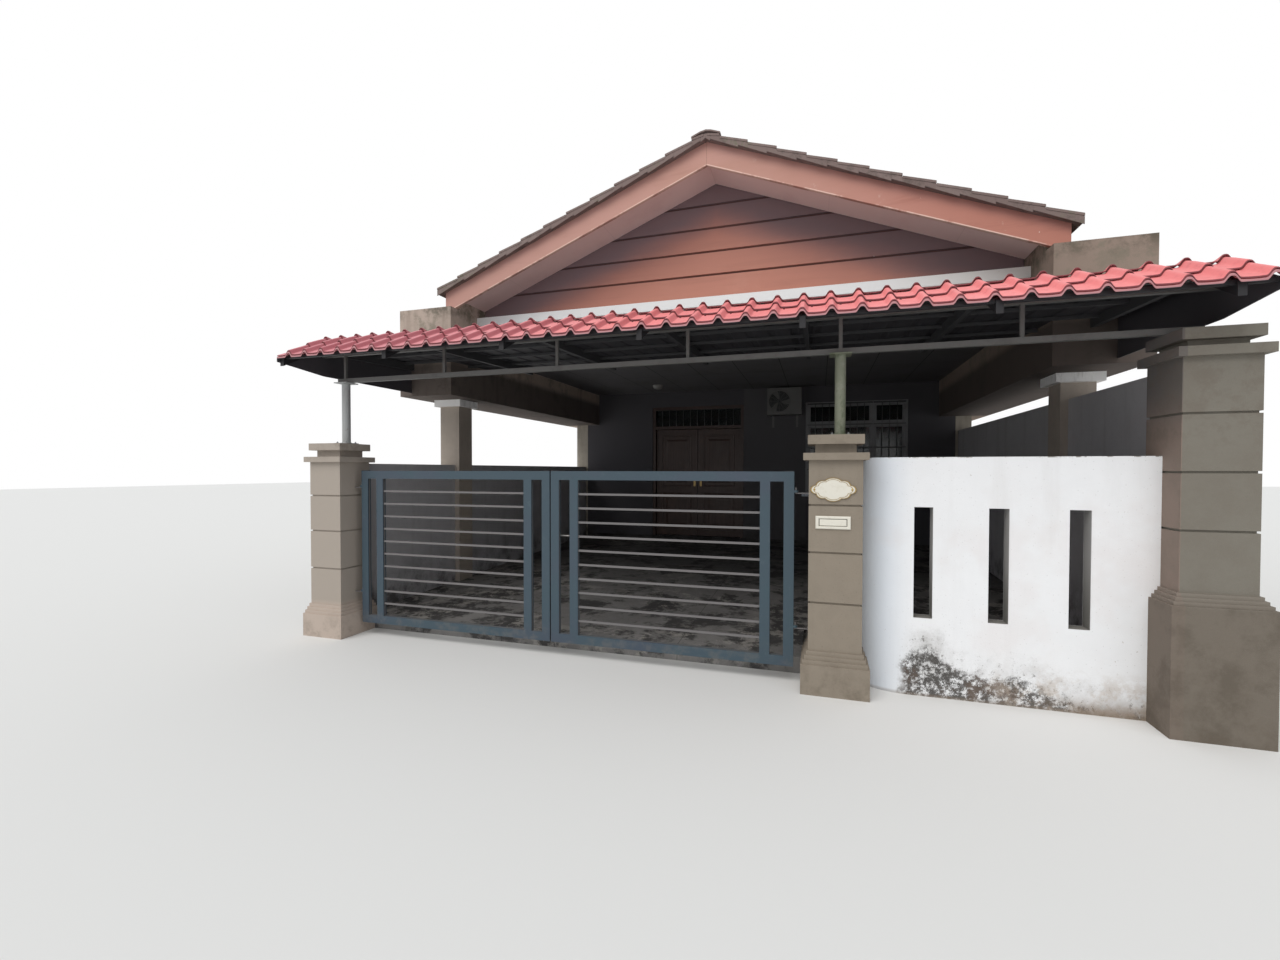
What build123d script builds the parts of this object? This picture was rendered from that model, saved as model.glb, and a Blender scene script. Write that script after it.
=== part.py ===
from build123d import *
import os
from math import cos, pi, radians, sin, tan

os.makedirs("parts", exist_ok=True)

# A single-storey terraced house between two party lines, with its car porch and gate.
# X runs along the street, Y from the street to the back yard and Z up, in mm.
# The origin is under the middle of the whole, at ground level.

# Plot and plan
party_spacing = 6700
eave_reach = 500
porch_depth = 5900
house_depth = 9600
verge_reach = 520
floor_level = 350
bed_depth = 1000

# Masonry
party_wall_thickness = 230
outer_wall_thickness = 150
boundary_wall_thickness = 150
boundary_left_height = 1650
boundary_right_height = 2236
ceiling_level = 3050
ceiling_thickness = 12

# Ramped porch floor
ramp_low = 130
ramp_high = 300

# Shared gutter boxes over the party lines
box_width = 720
box_bottom = 2470
box_top = 3500
box_wall = 90
box_floor = 100
box_front_setback = 1250

# Porch columns
column_size = 275
column_setback = 1710
cap_projection = 52
cap_height = 82

# Beam over the porch with its two white ledges
beam_setback = 1860
beam_thickness = 230
beam_bottom = 2896
beam_top_drop = 6
ledge_height = 104
ledge_projection = 80

# Gable roof
roof_rise = 1246
roof_run = 3168
roof_edge_rise = 209
barge_seat_depth = 26
barge_thickness = 40
barge_setback = 1400
tile_overhang = 60
roof_thickness = 80
roof_half_width = 3240
ridge_arm = 150
ridge_thickness = 28
gable_setback = 1950
soffit_drop = 150
soffit_thickness = 12

# Gate pillars: the shared left one and the one that carries the house number
pillar_size = 360
pillar_top = 1838
plinth_height = 215
plinth_projection = 50
plinth_mould = 90
mould_steps = 3
coping_bottom = 1660
coping_height = 50
coping_projection = 38
neck_height = 62
neck_inset = 42
cap_top_projection = 8
groove_levels = (641, 998, 1334)
groove_height = 14
groove_depth = 12
number_pillar_x = 1230

# Big pillar on the right party line
big_size = 375
big_plinth_height = 792
big_plinth_projection = 60
big_mould = 70
big_groove_levels = (1225, 1572, 1920)
big_coping_bottom = 2260
big_coping_height = 57
big_neck_height = 45

# Low front wall with a curved end
fence_height = 1680
fence_thickness = 115
fence_curve_start = 1720
fence_curve_radius = 350
slot_width = 120
slot_bottom = 550
slot_top = 1330
slot_spacing = 461
slot_first = 1818

# Gate
gate_left_edge = -3073
gate_right_edge = 944
gate_bottom = 118
gate_top = 1578
gate_gap = 12
gate_thickness = 38
stile_width = 75
rail_width = 75
stile_gap = 100
bar_height = 17
bar_thickness = 14
bar_count = 10
drop_bolt_bottom = 150
drop_bolt_top = 620
drop_bolt_keepers = (215, 480)
slide_bolt_level = 1025
slide_bolt_length = 150
bolt_diameter = 14
keeper_width = 32
keeper_height = 24
bolt_handle_reach = 55
hinge_offset = 12
hinge_levels = (420, 1430)
hinge_plate = 8
pin_diameter = 14
pin_length = 46
pin_clearance = 0.3
lug_diameter = 36
lug_height = 18

# Front door and windows
door_left = -1898
door_right = -180
door_frame_width = 55
door_frame_depth = 100
frame_setback = 20
lock_rail_bottom = 800
lock_rail_height = 120
handle_level = 1050
handle_plate_width = 40
handle_plate_height = 230
handle_plate_thickness = 6
handle_edge = 55
handle_reach = 48
handle_length = 110
handle_diameter = 16
door_leaf_thickness = 40
door_leaf_gap = 8
door_hinge_levels = (260, 1000, 1740)
door_knuckle = 40
door_knuckle_radius = 6
door_pin_radius = 3
door_hinge_leaf = 26
door_hinge_plate = 3
opening_head = 2773
transom_level = 2357
transom_height = 55
window_left = 897
window_right = 2534
window_sill = 1200
window_mullion_x = 1993
window_bar = 50
glass_thickness = 6
rear_door_left = 1350
rear_door_width = 900
rear_window_left = -2300
rear_window_width = 1500
rear_window_sill = 1250
rear_head = 2500
rear_panel_recess = 30

# Awning over the gate
awning_left = -3550
awning_right = 3450
eave_level = 2590
tile_module = 225
tile_courses = 2
tile_pitch = 28.5
tile_sheet = 10
tile_step = 18
deck_thickness = 12
rafter_depth = 80
rafter_width = 40
rafter_end_gap = 30
end_plate_thickness = 6
end_plate_lip = 30
end_plate_bottom = 2508
chord_bottom = 2430
chord_size = 40
post_diameter = 76
post_left_x = -3270
number_post_offset = 32
foot_size = 150
foot_thickness = 8
strut_bays = 4
strut_width = 25

# Outdoor unit of the air conditioner and the porch lamp
ac_width = 570
ac_height = 458
ac_depth = 240
ac_left = 263
ac_bottom = 2546
ac_wall_gap = 80
ac_fan_radius = 185
ac_fan_edge = 20
ac_fan_recess = 15
bracket_width = 35
bracket_thickness = 4
bracket_inset = 80
bracket_setback = 20
bracket_drop = 200
lamp_radius = 95
lamp_height = 75
lamp_steps = 2
lamp_x = -1540
lamp_from_wall = 900

# Places worked out from the driving dimensions
half = party_spacing / 2
barge_inset = barge_setback - box_front_setback
rear_reach = verge_reach - tile_overhang + barge_inset
total_depth = eave_reach + porch_depth + house_depth + rear_reach
gate_y = -total_depth / 2 + eave_reach
front_y = gate_y + porch_depth
rear_y = front_y + house_depth
party_inner = half - party_wall_thickness / 2
box_inner = half - box_width / 2
box_outer = half + box_width / 2
box_front_y = gate_y + box_front_setback
box_rear_y = rear_y + rear_reach
column_y = gate_y + column_setback + column_size / 2
beam_y = gate_y + beam_setback
beam_back_y = beam_y + beam_thickness
ledge_y = beam_y - ledge_projection
gable_y = gate_y + gable_setback
barge_y = gate_y + barge_setback
verge_front_y = barge_y - tile_overhang
verge_rear_y = rear_y + verge_reach
barge_rear_y = verge_rear_y - tile_overhang
boundary_inner = half - boundary_wall_thickness / 2
ceiling_top = ceiling_level + ceiling_thickness
beam_top = box_top - beam_top_drop
barge_apex = box_top + roof_edge_rise + roof_rise
barge_depth = roof_edge_rise + barge_seat_depth
roof_slope = roof_rise / roof_run


def roof_line(x, drop=0):
    """Height of the roof's underside at a distance x from the ridge."""
    return barge_apex - roof_slope * abs(x) - drop


def write(builder, name):
    """Name a finished piece and write it to its own STEP file."""
    builder.part.label = name
    export_step(builder.part, f"parts/{name}.step")


def slab(x0, x1, y0, y1, z0, z1):
    """A plain block between two corners, added to the open part."""
    with Locations(((x0 + x1) / 2, (y0 + y1) / 2, (z0 + z1) / 2)):
        Box(x1 - x0, y1 - y0, z1 - z0)


def cut(x0, x1, y0, y1, z0, z1):
    """A block between two corners, taken out of the open part."""
    with Locations(((x0 + x1) / 2, (y0 + y1) / 2, (z0 + z1) / 2)):
        Box(x1 - x0, y1 - y0, z1 - z0, mode=Mode.SUBTRACT)


# Floors
with BuildPart() as porch_slab:
    slab_front_y = gate_y + big_size / 2
    with BuildSketch(Plane.YZ.offset(-boundary_inner)):
        with BuildLine():
            Polyline((slab_front_y, 0), (front_y, 0), (front_y, ramp_high), (slab_front_y, ramp_low), close=True)
        make_face()
    extrude(amount=2 * boundary_inner)
    bed_back_y = gate_y + bed_depth
    cut(number_pillar_x - pillar_size / 2 - plinth_projection, half, gate_y, bed_back_y, -1, floor_level)
    cut(-half, plinth_projection + pillar_size / 2 - half, gate_y,
        gate_y + pillar_size / 2 + plinth_projection, -1, floor_level)
    for side in (-1, 1):
        near = side * half - column_size / 2
        cut(near, near + column_size, column_y - column_size / 2, column_y + column_size / 2, -1, floor_level)
write(porch_slab, "porch_slab")

with BuildPart() as house_slab:
    slab(-party_inner, party_inner, front_y, rear_y, 0, floor_level)
write(house_slab, "house_slab")

# Party walls, gutter boxes and columns on both sides
for side, sign in (("left", -1), ("right", 1)):
    line_x = sign * half
    with BuildPart() as party_wall:
        slab(line_x - party_wall_thickness / 2, line_x + party_wall_thickness / 2, front_y, rear_y, 0, box_bottom)
    write(party_wall, f"party_wall_{side}")

    with BuildPart() as gutter_box:
        with BuildSketch(Plane.XZ.offset(-box_rear_y)):
            inner = sign * box_inner
            inner_wall = sign * (box_inner + box_wall)
            outer_wall = sign * (box_outer - box_wall)
            outer = sign * box_outer
            with BuildLine():
                Polyline(
                    (inner, box_bottom), (inner, roof_line(inner)), (inner_wall, roof_line(inner_wall)),
                    (inner_wall, box_bottom + box_floor), (outer_wall, box_bottom + box_floor),
                    (outer_wall, box_top), (outer, box_top), (outer, box_bottom), close=True)
            make_face()
        extrude(amount=box_rear_y - box_front_y)
        slab(line_x - box_width / 2, line_x + box_width / 2, box_front_y, box_front_y + box_wall, box_bottom, box_top)
        slab(line_x - box_width / 2, line_x + box_width / 2, box_rear_y - box_wall, box_rear_y, box_bottom, box_top)
        cut(line_x - box_width, line_x + box_width, box_front_y - 1, barge_y + barge_thickness, box_top, barge_apex)
        cut(line_x - box_width, line_x + box_width, barge_rear_y - barge_thickness, box_rear_y + 1,
            box_top, barge_apex)
    write(gutter_box, f"gutter_box_{side}")

    with BuildPart() as column:
        slab(line_x - column_size / 2, line_x + column_size / 2,
             column_y - column_size / 2, column_y + column_size / 2, 0, box_bottom)
        cap_half = column_size / 2 + cap_projection
        slab(line_x - cap_half, line_x + cap_half, column_y - cap_half, column_y + cap_half,
             box_bottom - cap_height, box_bottom)
    write(column, f"porch_column_{side}")

# Beam across the porch, with a ledge along its bottom and its top
with BuildPart() as porch_beam:
    slab(-box_inner, box_inner, beam_y, beam_back_y, beam_bottom, beam_top)
write(porch_beam, "porch_beam")

for name, ledge_top in (("lower_ledge", beam_bottom + ledge_height), ("upper_ledge", beam_top)):
    with BuildPart() as ledge:
        slab(-box_inner, box_inner, ledge_y, beam_y, ledge_top - ledge_height, ledge_top)
    write(ledge, name)

# Boarded gable over the beam
with BuildPart() as gable_boards:
    with BuildSketch(Plane.XZ.offset(-beam_back_y)):
        with BuildLine():
            Polyline(
                (-box_inner, beam_top), (box_inner, beam_top), (box_inner, roof_line(box_inner)),
                (0, roof_line(0)), (-box_inner, roof_line(box_inner)), close=True)
        make_face()
    extrude(amount=beam_back_y - gable_y)
write(gable_boards, "gable_boards")

# Roof slopes, ridge, barge boards and soffits
for side, sign in (("left", -1), ("right", 1)):
    with BuildPart() as roof_slope_part:
        with BuildSketch(Plane.XZ.offset(-verge_rear_y)):
            edge = sign * roof_half_width
            with BuildLine():
                Polyline(
                    (0, roof_line(0)), (edge, roof_line(edge)), (edge, roof_line(edge) + roof_thickness),
                    (0, roof_line(0) + roof_thickness), close=True)
            make_face()
        extrude(amount=verge_rear_y - verge_front_y)
    write(roof_slope_part, f"roof_slope_{side}")

with BuildPart() as ridge:
    with BuildSketch(Plane.XZ.offset(-verge_rear_y)):
        crown = roof_thickness + ridge_thickness
        with BuildLine():
            Polyline(
                (0, roof_line(0) + roof_thickness), (ridge_arm, roof_line(ridge_arm) + roof_thickness),
                (ridge_arm, roof_line(ridge_arm) + crown), (0, roof_line(0) + crown),
                (-ridge_arm, roof_line(ridge_arm) + crown), (-ridge_arm, roof_line(ridge_arm) + roof_thickness),
                close=True)
        make_face()
    extrude(amount=verge_rear_y - verge_front_y)
write(ridge, "ridge_tiles")

barge_seat = (barge_apex - barge_depth - box_top) / roof_slope
for name, board_back_y in (("barge_boards_front", barge_y + barge_thickness), ("barge_boards_rear", barge_rear_y)):
    with BuildPart() as barge_boards:
        with BuildSketch(Plane.XZ.offset(-board_back_y)):
            with BuildLine():
                Polyline(
                    (0, roof_line(0)), (roof_run, roof_line(roof_run)), (roof_run, box_top),
                    (barge_seat, box_top), (0, roof_line(0, barge_depth)), (-barge_seat, box_top),
                    (-roof_run, box_top), (-roof_run, roof_line(roof_run)), close=True)
            make_face()
        extrude(amount=barge_thickness)
    write(barge_boards, name)

soffit_spans = (
    ("soffit_front", barge_y + barge_thickness, gable_y),
    ("soffit_rear", rear_y, barge_rear_y - barge_thickness),
)
for name, soffit_y0, soffit_y1 in soffit_spans:
    with BuildPart() as soffit:
        with BuildSketch(Plane.XZ.offset(-soffit_y1)):
            low = soffit_drop + soffit_thickness
            with BuildLine():
                Polyline(
                    (0, roof_line(0, soffit_drop)), (box_inner, roof_line(box_inner, soffit_drop)),
                    (box_inner, roof_line(box_inner, low)), (0, roof_line(0, low)),
                    (-box_inner, roof_line(box_inner, low)), (-box_inner, roof_line(box_inner, soffit_drop)),
                    close=True)
            make_face()
        extrude(amount=soffit_y1 - soffit_y0)
    write(soffit, name)

# Ceilings of the porch and the house
with BuildPart() as porch_ceiling:
    slab(-box_inner, box_inner, beam_back_y, front_y, ceiling_level, ceiling_top)
write(porch_ceiling, "porch_ceiling")

wall_back_y = front_y + outer_wall_thickness
rear_inner_y = rear_y - outer_wall_thickness
with BuildPart() as house_ceiling:
    slab(-box_inner, box_inner, wall_back_y, rear_inner_y, ceiling_level, ceiling_top)
write(house_ceiling, "house_ceiling")

# House front: beside the door, over it, and the side with the window
with BuildPart() as front_wall_left:
    slab(-party_inner, door_left, front_y, wall_back_y, floor_level, ceiling_top)
    cut(-party_inner, -box_inner, front_y, wall_back_y, box_bottom, ceiling_top)
write(front_wall_left, "front_wall_left")

with BuildPart() as front_wall_over_door:
    slab(door_left, door_right, front_y, wall_back_y, opening_head, ceiling_top)
write(front_wall_over_door, "front_wall_over_door")

with BuildPart() as front_wall_right:
    slab(door_right, party_inner, front_y, wall_back_y, floor_level, ceiling_top)
    cut(box_inner, party_inner, front_y, wall_back_y, box_bottom, ceiling_top)
    cut(window_left, window_right, front_y, wall_back_y, window_sill, opening_head)
write(front_wall_right, "front_wall_right")

# Plain back wall with its gable, a door and a window
rear_door_right = rear_door_left + rear_door_width
rear_window_right = rear_window_left + rear_window_width
with BuildPart() as rear_wall:
    with BuildSketch(Plane.XZ.offset(-rear_y)):
        with BuildLine():
            Polyline(
                (-party_inner, floor_level), (party_inner, floor_level), (party_inner, box_bottom),
                (box_inner, box_bottom), (box_inner, roof_line(box_inner)), (0, roof_line(0)),
                (-box_inner, roof_line(box_inner)), (-box_inner, box_bottom), (-party_inner, box_bottom),
                close=True)
        make_face()
    extrude(amount=outer_wall_thickness)
    cut(rear_door_left, rear_door_right, rear_inner_y, rear_y, floor_level, rear_head)
    cut(rear_window_left, rear_window_right, rear_inner_y, rear_y, rear_window_sill, rear_head)
write(rear_wall, "rear_wall")

# Front door: frame with a transom, and a pair of panelled leaves
frame_y0 = front_y + frame_setback
frame_y1 = frame_y0 + door_frame_depth
leaf_y1 = frame_y1
leaf_y0 = leaf_y1 - door_leaf_thickness
door_inner_left = door_left + door_frame_width
door_inner_right = door_right - door_frame_width
with BuildPart() as door_frame:
    slab(door_left, door_right, frame_y0, frame_y1, floor_level, opening_head)
    cut(door_inner_left, door_inner_right, frame_y0, frame_y1, floor_level, transom_level)
    cut(door_inner_left, door_inner_right, frame_y0, frame_y1,
        transom_level + transom_height, opening_head - door_frame_width)
    for hinge_x, plate_end in (
        (door_inner_left + door_leaf_gap / 2, door_inner_left - door_hinge_leaf),
        (door_inner_right - door_leaf_gap / 2, door_inner_right + door_hinge_leaf),
    ):
        for level in door_hinge_levels:
            knuckle_bottom = floor_level + level
            slab(min(hinge_x, plate_end), max(hinge_x, plate_end), frame_y1, frame_y1 + door_hinge_plate,
                 knuckle_bottom, knuckle_bottom + door_knuckle)
            for radius, height in ((door_knuckle_radius, door_knuckle), (door_pin_radius, 2 * door_knuckle)):
                with BuildSketch(Plane.XY.offset(knuckle_bottom)):
                    with Locations((hinge_x, frame_y1 + door_knuckle_radius)):
                        Circle(radius)
                extrude(amount=height)
write(door_frame, "front_door_frame")

door_middle = (door_inner_left + door_inner_right) / 2
leaf_width = door_middle - door_inner_left - 1.5 * door_leaf_gap
leaf_bottom = floor_level + door_leaf_gap
leaf_top = transom_level - door_leaf_gap
panel_margin = 110
panel_recess = 8
for side, leaf_x0 in (("left", door_inner_left + door_leaf_gap), ("right", door_middle + door_leaf_gap / 2)):
    with BuildPart() as leaf:
        leaf_x1 = leaf_x0 + leaf_width
        slab(leaf_x0, leaf_x1, leaf_y0, leaf_y1, leaf_bottom, leaf_top)
        panel_edges = (leaf_bottom + panel_margin, leaf_bottom + lock_rail_bottom,
                       leaf_bottom + lock_rail_bottom + lock_rail_height, leaf_top - panel_margin)
        for low, high in (panel_edges[0:2], panel_edges[2:4]):
            for face_y0, face_y1 in ((leaf_y0, leaf_y0 + panel_recess), (leaf_y1 - panel_recess, leaf_y1)):
                cut(leaf_x0 + panel_margin, leaf_x1 - panel_margin, face_y0, face_y1, low, high)
        handle_x = leaf_x1 - handle_edge if side == "left" else leaf_x0 + handle_edge
        lever_x = handle_x - handle_length if side == "left" else handle_x + handle_length
        lever_z = floor_level + handle_level
        for face_y, out in ((leaf_y0, -1), (leaf_y1, 1)):
            plate_y = face_y + out * handle_plate_thickness
            slab(handle_x - handle_plate_width / 2, handle_x + handle_plate_width / 2,
                 min(face_y, plate_y), max(face_y, plate_y),
                 lever_z - handle_plate_height / 2, lever_z + handle_plate_height / 2)
            with BuildSketch(Plane.XZ.offset(-face_y)):
                with Locations((handle_x, lever_z)):
                    Circle(handle_diameter / 2)
            extrude(amount=-out * handle_reach)
            with BuildSketch(Plane.YZ.offset(min(handle_x, lever_x))):
                with Locations((face_y + out * (handle_reach - handle_diameter / 2), lever_z)):
                    Circle(handle_diameter / 2)
            extrude(amount=handle_length)
        hinge_x = door_inner_left + door_leaf_gap / 2 if side == "left" else door_inner_right - door_leaf_gap / 2
        hinge_y = leaf_y1 + door_knuckle_radius
        plate_end = hinge_x + door_hinge_leaf if side == "left" else hinge_x - door_hinge_leaf
        for level in door_hinge_levels:
            knuckle_bottom = floor_level + level + door_knuckle + pin_clearance
            slab(min(hinge_x, plate_end), max(hinge_x, plate_end), leaf_y1, leaf_y1 + door_hinge_plate,
                 knuckle_bottom, knuckle_bottom + door_knuckle)
            with BuildSketch(Plane.XY.offset(knuckle_bottom)):
                with Locations((hinge_x, hinge_y)):
                    Circle(door_knuckle_radius)
            extrude(amount=door_knuckle)
            with BuildSketch(Plane.XY.offset(knuckle_bottom)):
                with Locations((hinge_x, hinge_y)):
                    Circle(door_pin_radius + pin_clearance)
            extrude(amount=door_knuckle, mode=Mode.SUBTRACT)
    write(leaf, f"front_door_{side}")

# Front window frame and all fixed front glass
with BuildPart() as window_frame:
    slab(window_left, window_right, frame_y0, frame_y1, window_sill, opening_head)
    window_inner = (window_left + window_bar, window_right - window_bar)
    for pane_x0, pane_x1 in (
        (window_inner[0], window_mullion_x - window_bar / 2),
        (window_mullion_x + window_bar / 2, window_inner[1]),
    ):
        cut(pane_x0, pane_x1, frame_y0, frame_y1, window_sill + window_bar, transom_level)
        cut(pane_x0, pane_x1, frame_y0, frame_y1, transom_level + window_bar, opening_head - window_bar)
write(window_frame, "front_window_frame")

glass_y0 = (frame_y0 + frame_y1 - glass_thickness) / 2
with BuildPart() as front_glass:
    slab(door_inner_left, door_inner_right, glass_y0, glass_y0 + glass_thickness,
         transom_level + transom_height, opening_head - door_frame_width)
    for pane_x0, pane_x1 in (
        (window_left + window_bar, window_mullion_x - window_bar / 2),
        (window_mullion_x + window_bar / 2, window_right - window_bar),
    ):
        slab(pane_x0, pane_x1, glass_y0, glass_y0 + glass_thickness, window_sill + window_bar, transom_level)
        slab(pane_x0, pane_x1, glass_y0, glass_y0 + glass_thickness,
             transom_level + window_bar, opening_head - window_bar)
write(front_glass, "front_glass")

# Back door and back window
rear_frame_y1 = rear_y - frame_setback
rear_frame_y0 = rear_frame_y1 - door_frame_depth
with BuildPart() as rear_door:
    slab(rear_door_left, rear_door_right, rear_frame_y0, rear_frame_y1, floor_level, rear_head)
    door_field_top = rear_head - door_frame_width
    for face_y0, face_y1 in (
        (rear_frame_y0, rear_frame_y0 + rear_panel_recess),
        (rear_frame_y1 - rear_panel_recess, rear_frame_y1),
    ):
        cut(rear_door_left + door_frame_width, rear_door_right - door_frame_width, face_y0, face_y1,
            floor_level, door_field_top)
write(rear_door, "rear_door")

with BuildPart() as rear_window:
    slab(rear_window_left, rear_window_right, rear_frame_y0, rear_frame_y1, rear_window_sill, rear_head)
    rear_middle = (rear_window_left + rear_window_right) / 2
    for pane_x0, pane_x1 in (
        (rear_window_left + window_bar, rear_middle - window_bar / 2),
        (rear_middle + window_bar / 2, rear_window_right - window_bar),
    ):
        rear_glass_y0 = (rear_frame_y0 + rear_frame_y1 - glass_thickness) / 2
        for face_y0, face_y1 in (
            (rear_frame_y0, rear_glass_y0),
            (rear_glass_y0 + glass_thickness, rear_frame_y1),
        ):
            cut(pane_x0, pane_x1, face_y0, face_y1, rear_window_sill + window_bar, rear_head - window_bar)
write(rear_window, "rear_window")


def pillar(x, size, plinth_top, plinth_out, mould, grooves, shaft_top, stages):
    """A rendered square pillar with a plinth, grooves and stepped copings, added to the open part."""
    def ring(half_size, z0, z1):
        slab(x - half_size, x + half_size, gate_y - half_size, gate_y + half_size, z0, z1)

    ring(size / 2 + plinth_out, 0, plinth_top)
    step_height = mould / mould_steps
    for step in range(mould_steps):
        step_out = plinth_out * (1 - (step + 1) / (mould_steps + 1))
        ring(size / 2 + step_out, plinth_top + step * step_height, plinth_top + (step + 1) * step_height)
    ring(size / 2, plinth_top + mould, shaft_top)
    level = shaft_top
    for half_size, height in stages:
        ring(half_size, level, level + height)
        level += height
    for groove in grooves:
        with BuildSketch(Plane.XY.offset(groove)) as groove_ring:
            with Locations((x, gate_y)):
                Rectangle(size, size)
                Rectangle(size - 2 * groove_depth, size - 2 * groove_depth, mode=Mode.SUBTRACT)
        extrude(groove_ring.sketch, amount=groove_height, mode=Mode.SUBTRACT)


# Gate pillars: the two of one size, and the big one
small_stages = (
    (pillar_size / 2 + coping_projection, coping_height),
    (pillar_size / 2 - neck_inset, neck_height),
    (pillar_size / 2 + cap_top_projection, pillar_top - coping_bottom - coping_height - neck_height),
)
with BuildPart() as left_pillar:
    pillar(-half, pillar_size, plinth_height, plinth_projection, plinth_mould, groove_levels,
           coping_bottom, small_stages)
write(left_pillar, "gate_pillar_left")

with BuildPart() as number_pillar:
    pillar(number_pillar_x, pillar_size, plinth_height, plinth_projection, plinth_mould, groove_levels,
           coping_bottom, small_stages)
write(number_pillar, "gate_pillar_number")

big_stages = (
    (big_size / 2 + coping_projection, big_coping_height),
    (big_size / 2 - neck_inset, big_neck_height),
    (big_size / 2 + cap_top_projection, chord_bottom - big_coping_bottom - big_coping_height - big_neck_height),
)
with BuildPart() as party_pillar:
    pillar(half, big_size, big_plinth_height, big_plinth_projection, big_mould, big_groove_levels,
           big_coping_bottom, big_stages)
write(party_pillar, "party_pillar_right")

# Walls along the boundaries of the porch, built up to the pillars
for side, line_x, wall_top, post, post_size in (
    ("left", -half, boundary_left_height, left_pillar, pillar_size),
    ("right", half, boundary_right_height, party_pillar, big_size),
):
    with BuildPart() as boundary_wall:
        wall_x0 = line_x - boundary_wall_thickness / 2
        wall_x1 = line_x + boundary_wall_thickness / 2
        slab(wall_x0, wall_x1, gate_y + post_size / 2, column_y - column_size / 2, 0, wall_top)
        add(post.part, mode=Mode.SUBTRACT)
        slab(wall_x0, wall_x1, column_y + column_size / 2, front_y, 0, wall_top)
    write(boundary_wall, f"boundary_wall_{side}")

# Low front wall: a straight panel with three slots, and a curved end at the number pillar
fence_y0 = gate_y
fence_y1 = gate_y + fence_thickness
fence_end = half - big_size / 2
with BuildPart() as fence_panel:
    slab(fence_curve_start, fence_end, fence_y0, fence_y1, 0, fence_height)
    add(party_pillar.part, mode=Mode.SUBTRACT)
    for number in range(3):
        slot_x = slot_first + number * slot_spacing
        cut(slot_x - slot_width / 2, slot_x + slot_width / 2, fence_y0, fence_y1, slot_bottom, slot_top)
write(fence_panel, "fence_panel")

with BuildPart() as fence_curve:
    curve_centre = (fence_curve_start, gate_y + fence_thickness / 2 + fence_curve_radius)
    with BuildSketch():
        with Locations(curve_centre):
            Circle(fence_curve_radius + fence_thickness / 2)
            Circle(fence_curve_radius - fence_thickness / 2, mode=Mode.SUBTRACT)
        quarter = fence_curve_radius + fence_thickness
        with Locations((fence_curve_start - quarter / 2, curve_centre[1] - quarter / 2)):
            Rectangle(quarter, quarter, mode=Mode.INTERSECT)
    extrude(amount=fence_height)
    cut(0, number_pillar_x + pillar_size / 2, fence_y0, curve_centre[1] + 1, 0, fence_height)
    add(number_pillar.part, mode=Mode.SUBTRACT)
write(fence_curve, "fence_curve")

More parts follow.
